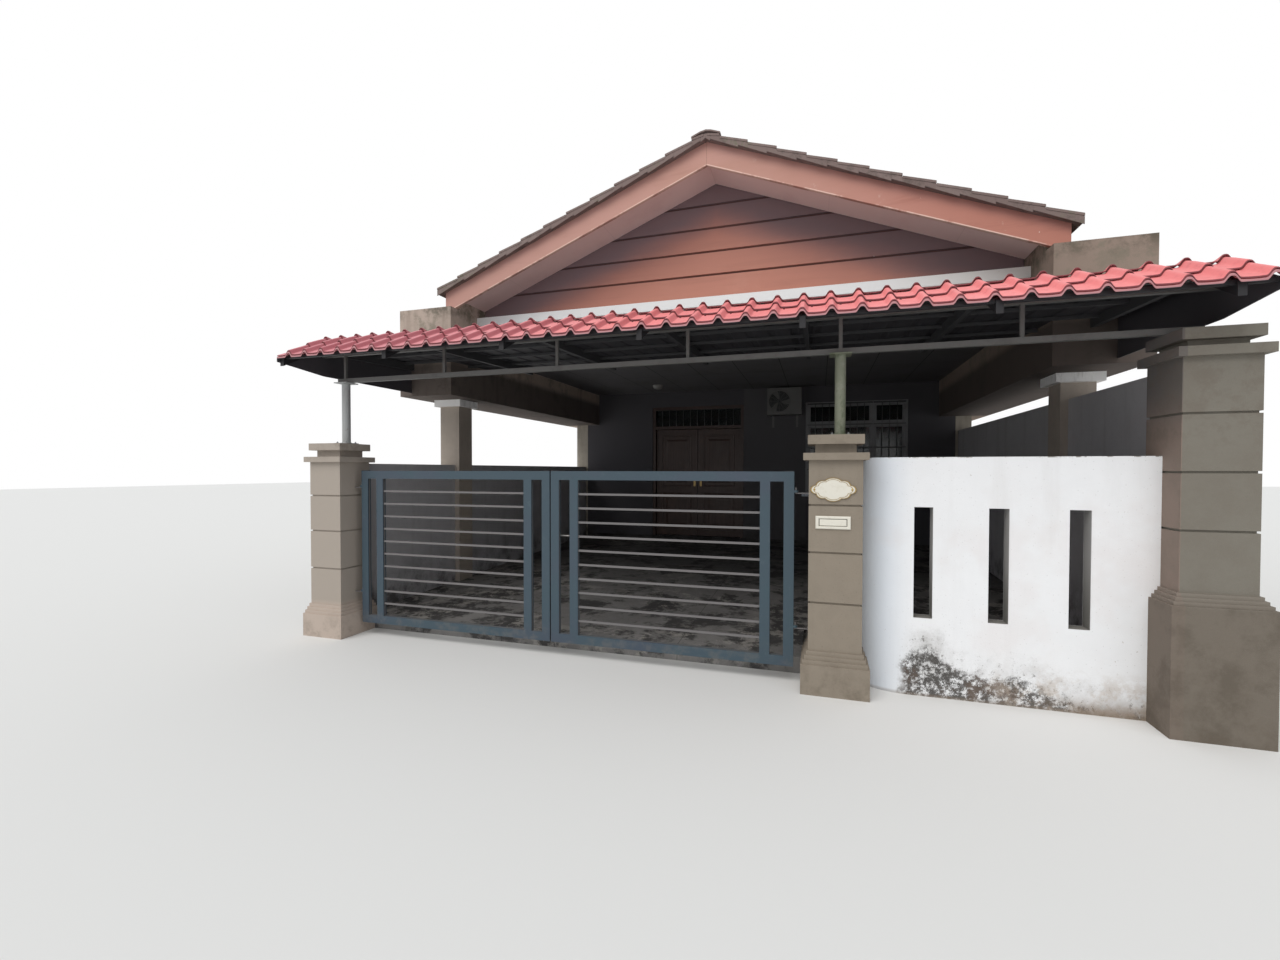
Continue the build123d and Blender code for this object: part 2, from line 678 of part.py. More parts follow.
# Gate leaves: a tube frame, an inner upright by each stile, and thin bars between
gate_middle = (gate_left_edge + gate_right_edge) / 2
gate_leaf_width = gate_middle - gate_left_edge - gate_gap / 2
bar_field = gate_top - gate_bottom - 2 * rail_width
bar_pitch = bar_field / (bar_count + 1)
leaf_spans = (
    ("gate_left", gate_left_edge, gate_left_edge - hinge_offset, gate_left_edge),
    ("gate_right", gate_right_edge - gate_leaf_width, gate_right_edge, gate_right_edge + hinge_offset),
)
for name, leaf_x0, lug_x0, lug_x1 in leaf_spans:
    with BuildPart() as gate_leaf:
        leaf_x1 = leaf_x0 + gate_leaf_width
        y0 = gate_y - gate_thickness / 2
        y1 = gate_y + gate_thickness / 2
        for upright in (leaf_x0, leaf_x0 + stile_width + stile_gap,
                        leaf_x1 - 2 * stile_width - stile_gap, leaf_x1 - stile_width):
            slab(upright, upright + stile_width, y0, y1, gate_bottom, gate_top)
        for rail in (gate_bottom, gate_top - rail_width):
            slab(leaf_x0, leaf_x1, y0, y1, rail, rail + rail_width)
        for number in range(1, bar_count + 1):
            bar_z = gate_bottom + rail_width + number * bar_pitch
            slab(leaf_x0 + 2 * stile_width + stile_gap, leaf_x1 - 2 * stile_width - stile_gap,
                 gate_y - bar_thickness / 2, gate_y + bar_thickness / 2,
                 bar_z - bar_height / 2, bar_z + bar_height / 2)
        meeting_x = leaf_x1 - stile_width / 2 if name == "gate_left" else leaf_x0 + stile_width / 2
        bolt_y = y1 + bolt_diameter
        for keeper in drop_bolt_keepers:
            slab(meeting_x - keeper_width / 2, meeting_x + keeper_width / 2, y1, bolt_y + bolt_diameter,
                 keeper - keeper_height / 2, keeper + keeper_height / 2)
        with BuildSketch(Plane.XY.offset(drop_bolt_bottom)):
            with Locations((meeting_x, bolt_y)):
                Circle(bolt_diameter / 2)
        extrude(amount=drop_bolt_top - drop_bolt_bottom)
        with BuildSketch(Plane.XZ.offset(-bolt_y)):
            with Locations((meeting_x, drop_bolt_top)):
                Circle(bolt_diameter / 2)
        extrude(amount=-bolt_handle_reach)
        if name == "gate_right":
            for keeper in (leaf_x0 + keeper_width / 2, leaf_x0 + stile_width - keeper_width / 2):
                slab(keeper - keeper_height / 2, keeper + keeper_height / 2, y1, bolt_y + bolt_diameter,
                     slide_bolt_level - keeper_width / 2, slide_bolt_level + keeper_width / 2)
            with BuildSketch(Plane.YZ.offset(leaf_x0)):
                with Locations((bolt_y, slide_bolt_level)):
                    Circle(bolt_diameter / 2)
            extrude(amount=slide_bolt_length)
            with BuildSketch(Plane.XZ.offset(-bolt_y)):
                with Locations((leaf_x0 + slide_bolt_length - bolt_diameter, slide_bolt_level)):
                    Circle(bolt_diameter / 2)
            extrude(amount=-bolt_handle_reach)
        hinge_x = lug_x0 if name == "gate_left" else lug_x1
        for level in hinge_levels:
            with BuildSketch(Plane.XY.offset(level - lug_height / 2)):
                with Locations((hinge_x, gate_y)):
                    Circle(lug_diameter / 2)
                with Locations(((lug_x0 + lug_x1) / 2, gate_y)):
                    Rectangle(hinge_offset, lug_diameter)
                with Locations((hinge_x, gate_y)):
                    Circle(pin_diameter / 2 + pin_clearance, mode=Mode.SUBTRACT)
            extrude(amount=lug_height)
            with BuildSketch(Plane.XY.offset(level - lug_height / 2)):
                with Locations((hinge_x, gate_y)):
                    Circle(pin_diameter / 2 + pin_clearance)
            extrude(amount=lug_height, mode=Mode.SUBTRACT)
    write(gate_leaf, name)

# Hinge brackets with their pins, on the two gate pillars
with BuildPart() as gate_hinges:
    for hinge_x, face_x in (
        (gate_left_edge - hinge_offset, -half + pillar_size / 2),
        (gate_right_edge + hinge_offset, number_pillar_x - pillar_size / 2),
    ):
        for level in hinge_levels:
            plate_top = level - lug_height / 2 - pin_clearance
            slab(min(face_x, hinge_x), max(face_x, hinge_x),
                 gate_y - pin_diameter / 2, gate_y + pin_diameter / 2, plate_top - hinge_plate, plate_top)
            with BuildSketch(Plane.XY.offset(plate_top - hinge_plate)):
                with Locations((hinge_x, gate_y)):
                    Circle(pin_diameter / 2)
            extrude(amount=pin_length)
write(gate_hinges, "gate_hinges")

# Awning: posts, truss, rafters, stepped tile skirt and the deck behind it
number_post_x = number_pillar_x + number_post_offset
strut_pitch = (number_post_x - post_left_x) / strut_bays
with BuildPart() as awning_posts:
    for post_x in (post_left_x, number_post_x):
        with BuildSketch(Plane.XY.offset(pillar_top)):
            with Locations((post_x, gate_y)):
                Circle(post_diameter / 2)
        extrude(amount=chord_bottom - pillar_top)
        for foot_z in (pillar_top, chord_bottom - foot_thickness):
            slab(post_x - foot_size / 2, post_x + foot_size / 2, gate_y - foot_size / 2, gate_y + foot_size / 2,
                 foot_z, foot_z + foot_thickness)
write(awning_posts, "awning_posts")

eave_y = gate_y - eave_reach
skirt_run = tile_courses * tile_module * cos(radians(tile_pitch))
skirt_slope = tan(radians(tile_pitch))
skirt_top_y = eave_y + skirt_run
skirt_top_level = eave_level + skirt_run * skirt_slope
deck_end_y = beam_back_y
deck_slope = (beam_bottom - deck_thickness - skirt_top_level) / (deck_end_y - skirt_top_y)
plate_left = awning_left + end_plate_thickness
plate_right = awning_right - end_plate_thickness


def awning_underside(y, drop=0):
    """Height of the awning's underside at a depth y."""
    if y <= skirt_top_y:
        return eave_level + (y - eave_y) * skirt_slope - drop
    return skirt_top_level + (y - skirt_top_y) * deck_slope - drop


purlin_top = awning_underside(gate_y - chord_size / 2, rafter_depth)
with BuildPart() as awning_truss:
    truss_y0 = gate_y - chord_size / 2
    truss_y1 = gate_y + chord_size / 2
    slab(-half, half, truss_y0, truss_y1, chord_bottom, chord_bottom + chord_size)
    slab(plate_left, plate_right, truss_y0, truss_y1, purlin_top - chord_size, purlin_top)
    strut_x = post_left_x
    while strut_x < half:
        slab(strut_x - strut_width / 2, strut_x + strut_width / 2, gate_y - strut_width / 2,
             gate_y + strut_width / 2, chord_bottom + chord_size, purlin_top - chord_size)
        strut_x += strut_pitch
write(awning_truss, "awning_truss")

rafter_xs = [plate_left + rafter_width / 2]
while rafter_xs[-1] + strut_pitch < plate_right:
    rafter_xs.append(rafter_xs[-1] + strut_pitch)
with BuildPart() as awning_rafters:
    rafter_front = eave_y + rafter_end_gap
    for rafter_x in rafter_xs:
        rafter_end = box_front_y if abs(rafter_x) > box_inner else beam_back_y
        with BuildSketch(Plane.YZ.offset(rafter_x - rafter_width / 2)):
            with BuildLine():
                Polyline(
                    (rafter_front, awning_underside(rafter_front)), (skirt_top_y, skirt_top_level),
                    (rafter_end, awning_underside(rafter_end)),
                    (rafter_end, awning_underside(rafter_end, rafter_depth)),
                    (skirt_top_y, skirt_top_level - rafter_depth),
                    (rafter_front, awning_underside(rafter_front, rafter_depth)), close=True)
            make_face()
        extrude(amount=rafter_width)
write(awning_rafters, "awning_rafters")

with BuildPart() as awning_tiles:
    with BuildSketch(Plane.YZ.offset(awning_left)):
        course_run = skirt_run / tile_courses
        outline = [(eave_y, eave_level)]
        for course in range(tile_courses):
            start_y = eave_y + course * course_run
            outline.append((start_y, awning_underside(start_y) + tile_sheet + tile_step))
            outline.append((start_y + course_run, awning_underside(start_y + course_run) + tile_sheet))
        outline.append((skirt_top_y, skirt_top_level))
        with BuildLine():
            Polyline(*outline, close=True)
        make_face()
    extrude(amount=awning_right - awning_left)
write(awning_tiles, "awning_tiles")

with BuildPart() as awning_deck:
    with BuildSketch(Plane.YZ.offset(awning_left)):
        deck_end_level = awning_underside(deck_end_y)
        with BuildLine():
            Polyline(
                (skirt_top_y, skirt_top_level), (deck_end_y, deck_end_level),
                (deck_end_y, deck_end_level + deck_thickness),
                (skirt_top_y, skirt_top_level + deck_thickness), close=True)
        make_face()
    extrude(amount=awning_right - awning_left)
    for sign in (-1, 1):
        near = sign * (box_inner + box_outer) / 2
        cut(near - box_width / 2, near + box_width / 2, box_front_y, deck_end_y, box_bottom, box_top)
write(awning_deck, "awning_deck")

with BuildPart() as awning_ends:
    for plate_x in (awning_left, plate_right):
        with BuildSketch(Plane.YZ.offset(plate_x)):
            with BuildLine():
                Polyline(
                    (eave_y, eave_level - end_plate_lip), (eave_y, eave_level), (skirt_top_y, skirt_top_level),
                    (box_front_y, awning_underside(box_front_y)), (box_front_y, end_plate_bottom),
                    (gate_y, end_plate_bottom), close=True)
            make_face()
        extrude(amount=end_plate_thickness)
write(awning_ends, "awning_ends")

# Outdoor unit on two wall brackets
with BuildPart() as ac_unit:
    ac_y1 = front_y - ac_wall_gap
    ac_y0 = ac_y1 - ac_depth
    slab(ac_left, ac_left + ac_width, ac_y0, ac_y1, ac_bottom, ac_bottom + ac_height)
    fan_x = ac_left + ac_fan_radius + ac_fan_edge
    with BuildSketch(Plane.XZ.offset(-ac_y0)):
        with Locations((fan_x, ac_bottom + ac_height / 2)):
            Circle(ac_fan_radius)
    extrude(amount=-ac_fan_recess, mode=Mode.SUBTRACT)
    for foot_x in (ac_left + bracket_inset, ac_left + ac_width - bracket_inset):
        slab(foot_x - bracket_width / 2, foot_x + bracket_width / 2, ac_y0 + bracket_setback, front_y,
             ac_bottom - bracket_thickness, ac_bottom)
        slab(foot_x - bracket_width / 2, foot_x + bracket_width / 2, front_y - bracket_thickness, front_y,
             ac_bottom - bracket_drop, ac_bottom)
write(ac_unit, "ac_unit")

# Round lamp under the porch ceiling
with BuildPart() as porch_lamp:
    lamp_y = front_y - lamp_from_wall
    with BuildSketch(Plane.XZ.offset(-lamp_y)):
        turns = [pi / 2 * step / lamp_steps for step in range(lamp_steps + 1)]
        dome = [(lamp_x + lamp_radius * sin(turn), ceiling_level - lamp_height * cos(turn)) for turn in turns]
        with BuildLine():
            Polyline(*dome, (lamp_x, ceiling_level), close=True)
        make_face()
    revolve(axis=Axis((lamp_x, lamp_y, 0), (0, 0, 1)))
write(porch_lamp, "porch_lamp")
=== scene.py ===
import random
from math import ceil, cos, exp, floor, pi, radians, sin, sqrt, tan

import bpy
from mathutils import Matrix, Vector


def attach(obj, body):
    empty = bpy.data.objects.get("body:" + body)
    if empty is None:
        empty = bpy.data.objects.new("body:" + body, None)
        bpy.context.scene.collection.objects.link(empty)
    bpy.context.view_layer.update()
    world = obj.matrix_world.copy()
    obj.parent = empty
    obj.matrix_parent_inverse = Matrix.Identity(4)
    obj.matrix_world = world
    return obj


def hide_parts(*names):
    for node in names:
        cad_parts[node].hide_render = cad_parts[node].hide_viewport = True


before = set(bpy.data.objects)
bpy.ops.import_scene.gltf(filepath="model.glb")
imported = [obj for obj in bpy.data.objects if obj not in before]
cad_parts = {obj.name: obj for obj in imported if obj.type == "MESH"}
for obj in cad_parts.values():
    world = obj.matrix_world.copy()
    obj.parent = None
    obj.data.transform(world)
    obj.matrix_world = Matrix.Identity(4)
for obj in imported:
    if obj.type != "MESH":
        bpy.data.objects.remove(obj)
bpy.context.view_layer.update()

# A single-storey terraced house. X runs along the street, Y from the street to the back yard and
# Z up, in metres, with the origin under the middle of the whole.

# Plan and levels
SIDES = (("left", -1), ("right", 1))
HALF = 3.35
GATE_Y = -7.805
FRONT_Y = -1.905
REAR_Y = 7.695
FLOOR_LEVEL = 0.35

# Gutter boxes, beam and ledges
BOX_INNER = 2.99
BOX_FRONT_Y = -6.555
BOX_BOTTOM = 2.47
BOX_TOP = 3.5
CAP_HEIGHT = 0.082
BEAM_BACK_Y = -5.715
BEAM_BOTTOM = 2.896
BEAM_TOP = 3.494

# Gable roof
ROOF_APEX = 4.955
ROOF_SLOPE = 1.246 / 3.168
ROOF_HALF = 3.24
ROOF_THICKNESS = 0.08
RIDGE_THICKNESS = 0.028
RIDGE_ARM = 0.15
VERGE_FRONT_Y = -6.465
VERGE_REAR_Y = 8.215
GABLE_Y = -5.855
BOARD_START = 3.54
BARGE_DEPTH = 0.235
BOARD_PITCH = 0.26
TILE_COURSES = 12
TILE_RUN = 0.2814
TILE_COLUMNS = 49
TILE_WIDTH = (VERGE_REAR_Y - VERGE_FRONT_Y) / TILE_COLUMNS
TILE_BUTT = 0.02
TILE_LAP = 0.06
TILE_GAP = 0.0015
TILE_PAN = (0, -0.004, -0.009, -0.0105, -0.0105, -0.009, -0.004, 0, 0)
RIDGE_GAP = 0.02
CAP_LENGTH = 0.42
CAP_THICKNESS = 0.017
VERGE_FLANGE = 0.011
VERGE_HANG = 0.014
VERGE_LIP = 0.024
VERGE_NOTCH = 0.018
FLANGE_SETBACK = 0.004
FLANGE_LAG = 0.095

# Awning
AWNING_LEFT = -3.55
AWNING_RIGHT = 3.45
EAVE_Y = -8.305
EAVE_LEVEL = 2.59
AWNING_SLOPE = tan(radians(28.5))
COURSE_RUN = 0.225 * cos(radians(28.5))
COURSES = 2
SHEET_MODULES = 38
MODULE_WIDTH = (AWNING_RIGHT - AWNING_LEFT) / SHEET_MODULES
SHEET_THICKNESS = 0.01
COURSE_STEP = 0.018
CROWN_HEIGHT = 0.038
DECK_THICKNESS = 0.012
END_PLATE = 0.006

SKIRT_TOP_Y = EAVE_Y + COURSES * COURSE_RUN
SKIRT_TOP_LEVEL = EAVE_LEVEL + COURSES * COURSE_RUN * AWNING_SLOPE
DECK_SLOPE = (BEAM_BOTTOM - DECK_THICKNESS - SKIRT_TOP_LEVEL) / (BEAM_BACK_Y - SKIRT_TOP_Y)
NOSE = SHEET_THICKNESS + COURSE_STEP
RIB_PITCH = 0.2
RIB_HEIGHT = 0.009

# Profiles: one sheet module as (place, share of the crown's height), a deck rib as (place, share of
# its height) and a screw as (radius, height)
MODULE = ((0, 0), (0.14, -0.05), (0.34, -0.05), (0.49, 0), (0.525, 0.05), (0.565, 0.26), (0.625, 0.72),
          (0.665, 0.94), (0.7, 1), (0.755, 1), (0.79, 0.94), (0.83, 0.72), (0.885, 0.26), (0.925, 0.05),
          (0.965, 0))
RIB = ((0, 0), (0.3, 0), (0.38, 1), (0.62, 1), (0.7, 0))
SCREW_PROFILE = ((0.0085, 0), (0.0085, 0.0018), (0.0052, 0.0024), (0.0052, 0.007), (0.003, 0.0078))

# Street line
PILLAR_SIZE = 0.36
PILLAR_TOP = 1.838
FENCE_HEIGHT = 1.68
FENCE_THICKNESS = 0.115
SLOT_BOTTOM = 0.55
SLOT_TOP = 1.33
POST_XS = (-3.27, 1.262)
POST_RADIUS = 0.038
CHORD_BOTTOM = 2.43
GATE_LEFT = -3.073
GATE_RIGHT = 0.944
GATE_GAP = 0.012
GATE_THICKNESS = 0.038
GATE_BOTTOM = 0.118
GATE_TOP = 1.578
STILE = 0.075
GATE_BARS = 10
BAR_INSET = 2 * STILE + 0.1

# Number plate, its lobes as (across, up, half width, half height), and letter slot
FACE_Y = GATE_Y - PILLAR_SIZE / 2
PLATE_X = 1.214
PLATE_LEVEL = 1.452
LETTER_LEVEL = 1.22
PLATE_LOBES = ((0, 0, 0.122, 0.066), (0.118, 0, 0.036, 0.03), (-0.118, 0, 0.036, 0.03),
               (0, 0.046, 0.062, 0.038), (0, -0.046, 0.062, 0.038),
               (0.07, 0.03, 0.046, 0.034), (-0.07, 0.03, 0.046, 0.034),
               (0.07, -0.03, 0.046, 0.034), (-0.07, -0.03, 0.046, 0.034))

# Front door, windows and fittings
DOOR_LEFT = -1.898
DOOR_RIGHT = -0.18
DOOR_FRAME = 0.055
OPENING_HEAD = 2.773
TRANSOM_LEVEL = 2.357
WINDOW_LEFT = 0.897
WINDOW_RIGHT = 2.534
WINDOW_SILL = 1.2
WINDOW_MULLION_X = 1.993
FRAME_FRONT_Y = FRONT_Y + 0.02
LEAF_FRONT_Y = FRAME_FRONT_Y + 0.06
LEAF_BACK_Y = FRAME_FRONT_Y + 0.1
DOOR_MIDDLE = (DOOR_LEFT + DOOR_RIGHT) / 2
HANDLE_LEVEL = FLOOR_LEVEL + 1.05
DOOR_PANELS = ((0.468, 1.158), (1.278, 2.239))
PANEL_INSET = 0.11
BAR_RADIUS = 0.0055
AC_LEFT = 0.263
AC_WIDTH = 0.57
AC_BOTTOM = 2.546
AC_HEIGHT = 0.458
AC_FRONT_Y = FRONT_Y - 0.32
FAN_RADIUS = 0.185
FAN_X = AC_LEFT + 0.205
REAR_DOOR_LEFT = 1.35
REAR_DOOR_WIDTH = 0.9
REAR_WINDOW_LEFT = -2.3
REAR_WINDOW_WIDTH = 1.5
REAR_SILL = 1.25
REAR_HEAD = 2.5

chance = random.Random(7)
scene = bpy.context.scene

# Materials by the name of their slot, a stretch that leaves a noise as it is, and a colour in 0 to 255
PAINTS = {}
EVEN = (1.0, 1.0, 1.0)
RUST = (112, 66, 44)


def linear(colour):
    """A colour given in 0 to 255 as a linear one with alpha. One with alpha stays as it is."""
    def channel(value):
        value /= 255
        return value / 12.92 if value <= 0.04045 else ((value + 0.055) / 1.055) ** 2.4
    return colour if len(colour) == 4 else (*map(channel, colour), 1.0)


def shade(colour, factor):
    """The colour made darker or lighter."""
    return tuple(min(channel * factor, 1.0) for channel in linear(colour)[:3]) + (1.0,)


def feed(tree, socket, value):
    """Links a field or an output to an input, or writes a plain value into it."""
    value = value.socket if isinstance(value, Field) else value
    if isinstance(value, bpy.types.NodeSocket):
        tree.links.new(value, socket)
    else:
        socket.default_value = value


def add_node(tree, kind, inputs, **settings):
    """A new shader node of a tree, with its inputs fed by index or name."""
    node = tree.nodes.new("ShaderNode" + kind)
    for setting, value in settings.items():
        setattr(node, setting, value)
    for key, value in inputs.items():
        feed(tree, node.inputs[key], value)
    return node


def field(tree, kind, inputs, output=0, **settings):
    """One output of a new node as a field."""
    return Field(tree, add_node(tree, kind, inputs, **settings).outputs[output])


class Field:
    """A value at each point of a surface: a coordinate, a cloud or a mask. Masks multiply."""

    def __init__(self, tree, socket):
        self.tree = tree
        self.socket = socket

    def math(self, operation, other=0.0):
        return field(self.tree, "Math", {0: self, 1: other}, operation=operation)

    def __mul__(self, other):
        return self.math("MULTIPLY", other)

    def __add__(self, other):
        return self.math("ADD", other)

    def __sub__(self, other):
        return self.math("SUBTRACT", other)

    def __or__(self, other):
        return self.math("MAXIMUM", other)

    def __abs__(self):
        return self.math("ABSOLUTE")

    def mask(self, low, high, top=1.0):
        """0 at low and top at high, smooth between them."""
        start, end = (0.0, top) if low < high else (top, 0.0)
        return field(self.tree, "MapRange", {
            "Value": self, "From Min": min(low, high), "From Max": max(low, high),
            "To Min": start, "To Max": end}, interpolation_type="SMOOTHSTEP")

    def between(self, low, high, soft):
        """1 between two values, with soft edges outside them."""
        return self.mask(low - soft, low) * self.mask(high + soft, high)

    def lines(self, pitch, width, offset=0.0):
        """1 on lines a pitch apart."""
        return (self - offset).math("PINGPONG", pitch / 2).mask(width, width * 0.4)


class Paint:
    """A material that is built up in coats, with masks made from places on the object."""

    def __init__(self, name, colour, roughness=0.85, specular=0.3, metallic=0.0):
        self.material = bpy.data.materials.new(name)
        self.material.use_nodes = True
        self.tree = self.material.node_tree
        self.shader = self.tree.nodes["Principled BSDF"].inputs
        for key, value in (("Roughness", roughness), ("Metallic", metallic),
                           ("Specular IOR Level", specular), ("Base Color", linear(colour))):
            self.shader[key].default_value = value
        self.place = field(self.tree, "TexCoord", {}, "Object")
        split = add_node(self.tree, "SeparateXYZ", {0: self.place})
        self.x, self.y, self.z = (Field(self.tree, socket) for socket in split.outputs)
        self.colour = linear(colour)
        self.normal = None
        PAINTS[name] = self

    def noise(self, scale, detail=5.0, roughness=0.55, stretch=EVEN, warp=0.0):
        """Cloudy noise about 0.5, with scale clouds a metre."""
        spread = field(self.tree, "Mapping", {"Vector": self.place, "Scale": stretch})
        return field(self.tree, "TexNoise", {
            "Vector": spread, "Scale": scale, "Detail": detail, "Roughness": roughness, "Distortion": warp})

    def clouds(self, noise, mask, colour, where=None):
        """Another colour in the clouds of a noise, and only where another mask is."""
        cloud = self.noise(*noise).mask(*mask)
        self.coat(cloud * where if where else cloud, colour)

    def specks(self, scale):
        """Distance to the nearest of scattered points, with scale points a metre."""
        return field(self.tree, "TexVoronoi", {"Vector": self.place, "Scale": scale}, "Distance")

    def cells(self, size, offset):
        """A random value for each block of that size."""
        vector = self.place
        for operation, operand in (("SUBTRACT", offset), ("DIVIDE", size), ("FLOOR", (0.0, 0.0, 0.0))):
            vector = field(self.tree, "VectorMath", {0: vector, 1: operand}, operation=operation)
        return field(self.tree, "TexWhiteNoise", {"Vector": vector}, "Value")

    def coat(self, mask, colour):
        """Another colour where the mask is."""
        layers = {0: mask, 6: self.colour, 7: linear(colour)}
        self.colour = field(self.tree, "Mix", layers, 2, data_type="RGBA")
        feed(self.tree, self.shader["Base Color"], self.colour)

    def gloss(self, mask, dull, shiny):
        """Roughness from dull where the mask is 0 to shiny where it is 1."""
        span = {"Value": mask, "To Min": dull, "To Max": shiny}
        feed(self.tree, self.shader["Roughness"], field(self.tree, "MapRange", span))

    def metal(self, mask):
        """Bare metal where the mask is."""
        feed(self.tree, self.shader["Metallic"], mask)

    def bump(self, height, depth, strength=1.0):
        """Relief of that depth in metres, over the relief that is there."""
        inputs = {"Distance": depth, "Strength": strength, "Height": height}
        if self.normal is not None:
            inputs["Normal"] = self.normal
        self.normal = field(self.tree, "Bump", inputs)
        feed(self.tree, self.shader["Normal"], self.normal)


def masonry(name, colour, dirt, patch=0.16, rain=0.45, grain=0.0016, roughness=0.92):
    """Cement or painted plaster with clouds, rain streaks, pits and a sandy grain."""
    paint = Paint(name, colour, roughness)
    paint.clouds((1.3, 7, 0.62, EVEN, 0.4), (0.34, 0.68), shade(colour, 1 + patch))
    paint.clouds((9, 6, 0.7), (0.4, 0.66, 0.5), shade(colour, 1 - patch))
    paint.clouds((1.0, 6, 0.6, (6.0, 6.0, 0.55)), (0.5, 0.76, rain), dirt)
    paint.coat(paint.specks(38).mask(0.16, 0.03, 0.5), shade(dirt, 0.8))
    paint.bump(paint.noise(3.5, 5), 0.004, 0.5)
    paint.bump(paint.noise(150, 4, 0.6), grain)
    return paint


# Concrete, render and plaster

slab = masonry("concrete_floor", (134, 132, 130), (104, 101, 97), 0.2, 0, 0.0022)
slab.clouds((2.2, 9, 0.72, EVEN, 0.25), (0.47, 0.56, 0.85), (58, 57, 57))
slab.clouds((1.1, 3), (0.44, 0.56, 0.75), (176, 172, 166), slab.noise(5, 9, 0.76).mask(0.5, 0.58))
joints = slab.x.lines(1.67, 0.004) | slab.y.lines(1.475, 0.004, GATE_Y)
slab.coat(joints * 0.6, (44, 42, 42))
# Painted shade: the floor darker from under the beam back to the house.
slab.coat(slab.y.mask(FRONT_Y - 4.2, FRONT_Y - 2, 0.6), (62, 60, 60))

party = masonry("party_render", (176, 168, 156), (118, 110, 98), 0.12, 0.5)
courses = party.z.lines(0.09, 0.008)
party.bump(courses * party.noise(2.2).mask(0.45, 0.6), 0.003, -0.5)
party.clouds((4, 8, 0.7), (0.38, 0.6), (78, 74, 66), party.z.mask(0.9, 0.1))

grey = masonry("grey_render", (186, 169, 157), (122, 106, 96), 0.1, 0.5)
grey.coat(grey.x.mask(0.5, 2.9, 0.85), (146, 128, 116))
grey.clouds((0.9, 3), (0.4, 0.55, 0.6), (126, 121, 106), grey.noise(3.2, 8, 0.72).mask(0.5, 0.62))
grey.clouds((5, 8, 0.7), (0.42, 0.64, 0.8), (84, 80, 68), grey.z.mask(BOX_TOP - 0.2, BOX_TOP + 0.02))
# Painted shade on the boxes' faces below the awning, from their front back to the house front.
shaded = grey.z.mask(BOX_BOTTOM + 0.46, BOX_BOTTOM + 0.34)
porch = (shaded * grey.y.mask(BOX_FRONT_Y - 0.1, BOX_FRONT_Y - 0.05)
         * grey.y.mask(FRONT_Y + 0.2, FRONT_Y - 0.1))
grey.coat(porch * 0.8, (74, 68, 66))

column = masonry("column_paint", (176, 165, 154), (118, 111, 103), 0.08, 0.35)
cap = column.z.mask(BOX_BOTTOM - CAP_HEIGHT - 0.004, BOX_BOTTOM - CAP_HEIGHT + 0.002)
column.coat(cap, (252, 251, 250))
column.clouds((12, 6, 0.7, (1, 1, 0.25)), (0.52, 0.7, 0.3), (132, 126, 122), cap)

wall = masonry("wall_paint", (186, 184, 186), (140, 136, 134), 0.06, 0.3)
# Painted shade: the house front wall in the porch is darker, a little less so between the door and the
# window.
indoors = wall.y.mask(FRONT_Y - 0.02, FRONT_Y - 0.005)
front_wall_shade = indoors * wall.y.mask(FRONT_Y + 0.3, FRONT_Y + 0.2)
wall.coat(front_wall_shade, (88, 86, 90))
by_door = front_wall_shade * wall.x.between(DOOR_RIGHT + 0.04, WINDOW_LEFT - 0.02, 0.06)
wall.coat(by_door * 0.7, (104, 102, 104))
wall.clouds((3.4, 8, 0.72), (0.42, 0.64, 0.8), (72, 68, 64), wall.z.mask(0.75, 0.15))

white = masonry("white_paint", (243, 244, 246), (216, 214, 213), 0.02, 0.28, 0.0012, 0.7)
x, y, z = white.x, white.y, white.z
fence_only = z.mask(1.9, 1.7)
# Painted shade: a bluish tint on the fence's left end by the number pillar.
bluish_shade = fence_only * x.mask(1.8, 1.5)
white.coat(bluish_shade * 0.7, (224, 234, 246))
white.clouds((1.6, 4), (0.5, 0.66, 0.3), (230, 222, 220), z.mask(1.75, 1.2))
white.coat(z.mask(BEAM_TOP - 0.3, BEAM_TOP - 0.24), (254, 254, 254))
right_end = x.mask(1.4, 2.9) * z.mask(3, 3.3)
white.coat(right_end * 0.5, (238, 230, 220))
# Painted shade: white surfaces just under the beam, such as the lower ledge, darkened.
under_beam_shade = z.mask(BEAM_BOTTOM + 0.12, BEAM_BOTTOM + 0.08) * z.mask(2, 2.2)
white.coat(under_beam_shade * 0.85, (80, 78, 80))
# Painted shade on the reveals inside the slots, darker again towards their bottom.
within = (y.mask(GATE_Y + 0.004, GATE_Y + 0.01)
          * y.mask(GATE_Y + FENCE_THICKNESS - 0.002, GATE_Y + FENCE_THICKNESS - 0.006))
reveal_shade = within * x.mask(1.73, 1.735) * z.between(SLOT_BOTTOM - 0.002, SLOT_TOP + 0.002, 0.004)
white.coat(reveal_shade, (178, 176, 174))
white.coat(reveal_shade * z.mask(1.05, 0.6, 0.8), (122, 120, 114))
lobe = abs(x - 1.83).mask(0.26, 0.04, 0.15)
band = lobe + x.mask(2.9, 2.35, 0.14)
rise = z - band + white.noise(7, 9, 0.8) * 0.44
along = (x + white.noise(7, 6, 0.7) * 0.14).mask(1.71, 1.79)
halo = rise.mask(0.46, 0.24) * along
white.clouds((3.4, 8, 0.7, (1, 1, 0.7)), (0.36, 0.6, 0.5), (164, 160, 156), halo)
white.clouds((26, 8, 0.8), (0.575, 0.61, 0.75), (84, 78, 70), halo)
heart = rise.mask(0.28, 0.21) * along
white.clouds((20, 10, 0.84), (0.44, 0.51, 0.92), (58, 54, 50), heart)
white.clouds((5, 8, 0.72), (0.5, 0.6, 0.45), (112, 92, 78), heart)
brown = z.mask(0.34, 0.1) * x.mask(2, 2.5)
white.clouds((6, 8, 0.74), (0.46, 0.62, 0.6), (188, 174, 160), brown)
base = z.mask(0.14, 0.02) * x.mask(2.3, 2.9)
white.clouds((7, 8, 0.7), (0.36, 0.55, 0.8), (140, 122, 104), base)
white.coat(z.mask(0.03, 0.004, 0.5) * fence_only, (136, 124, 110))
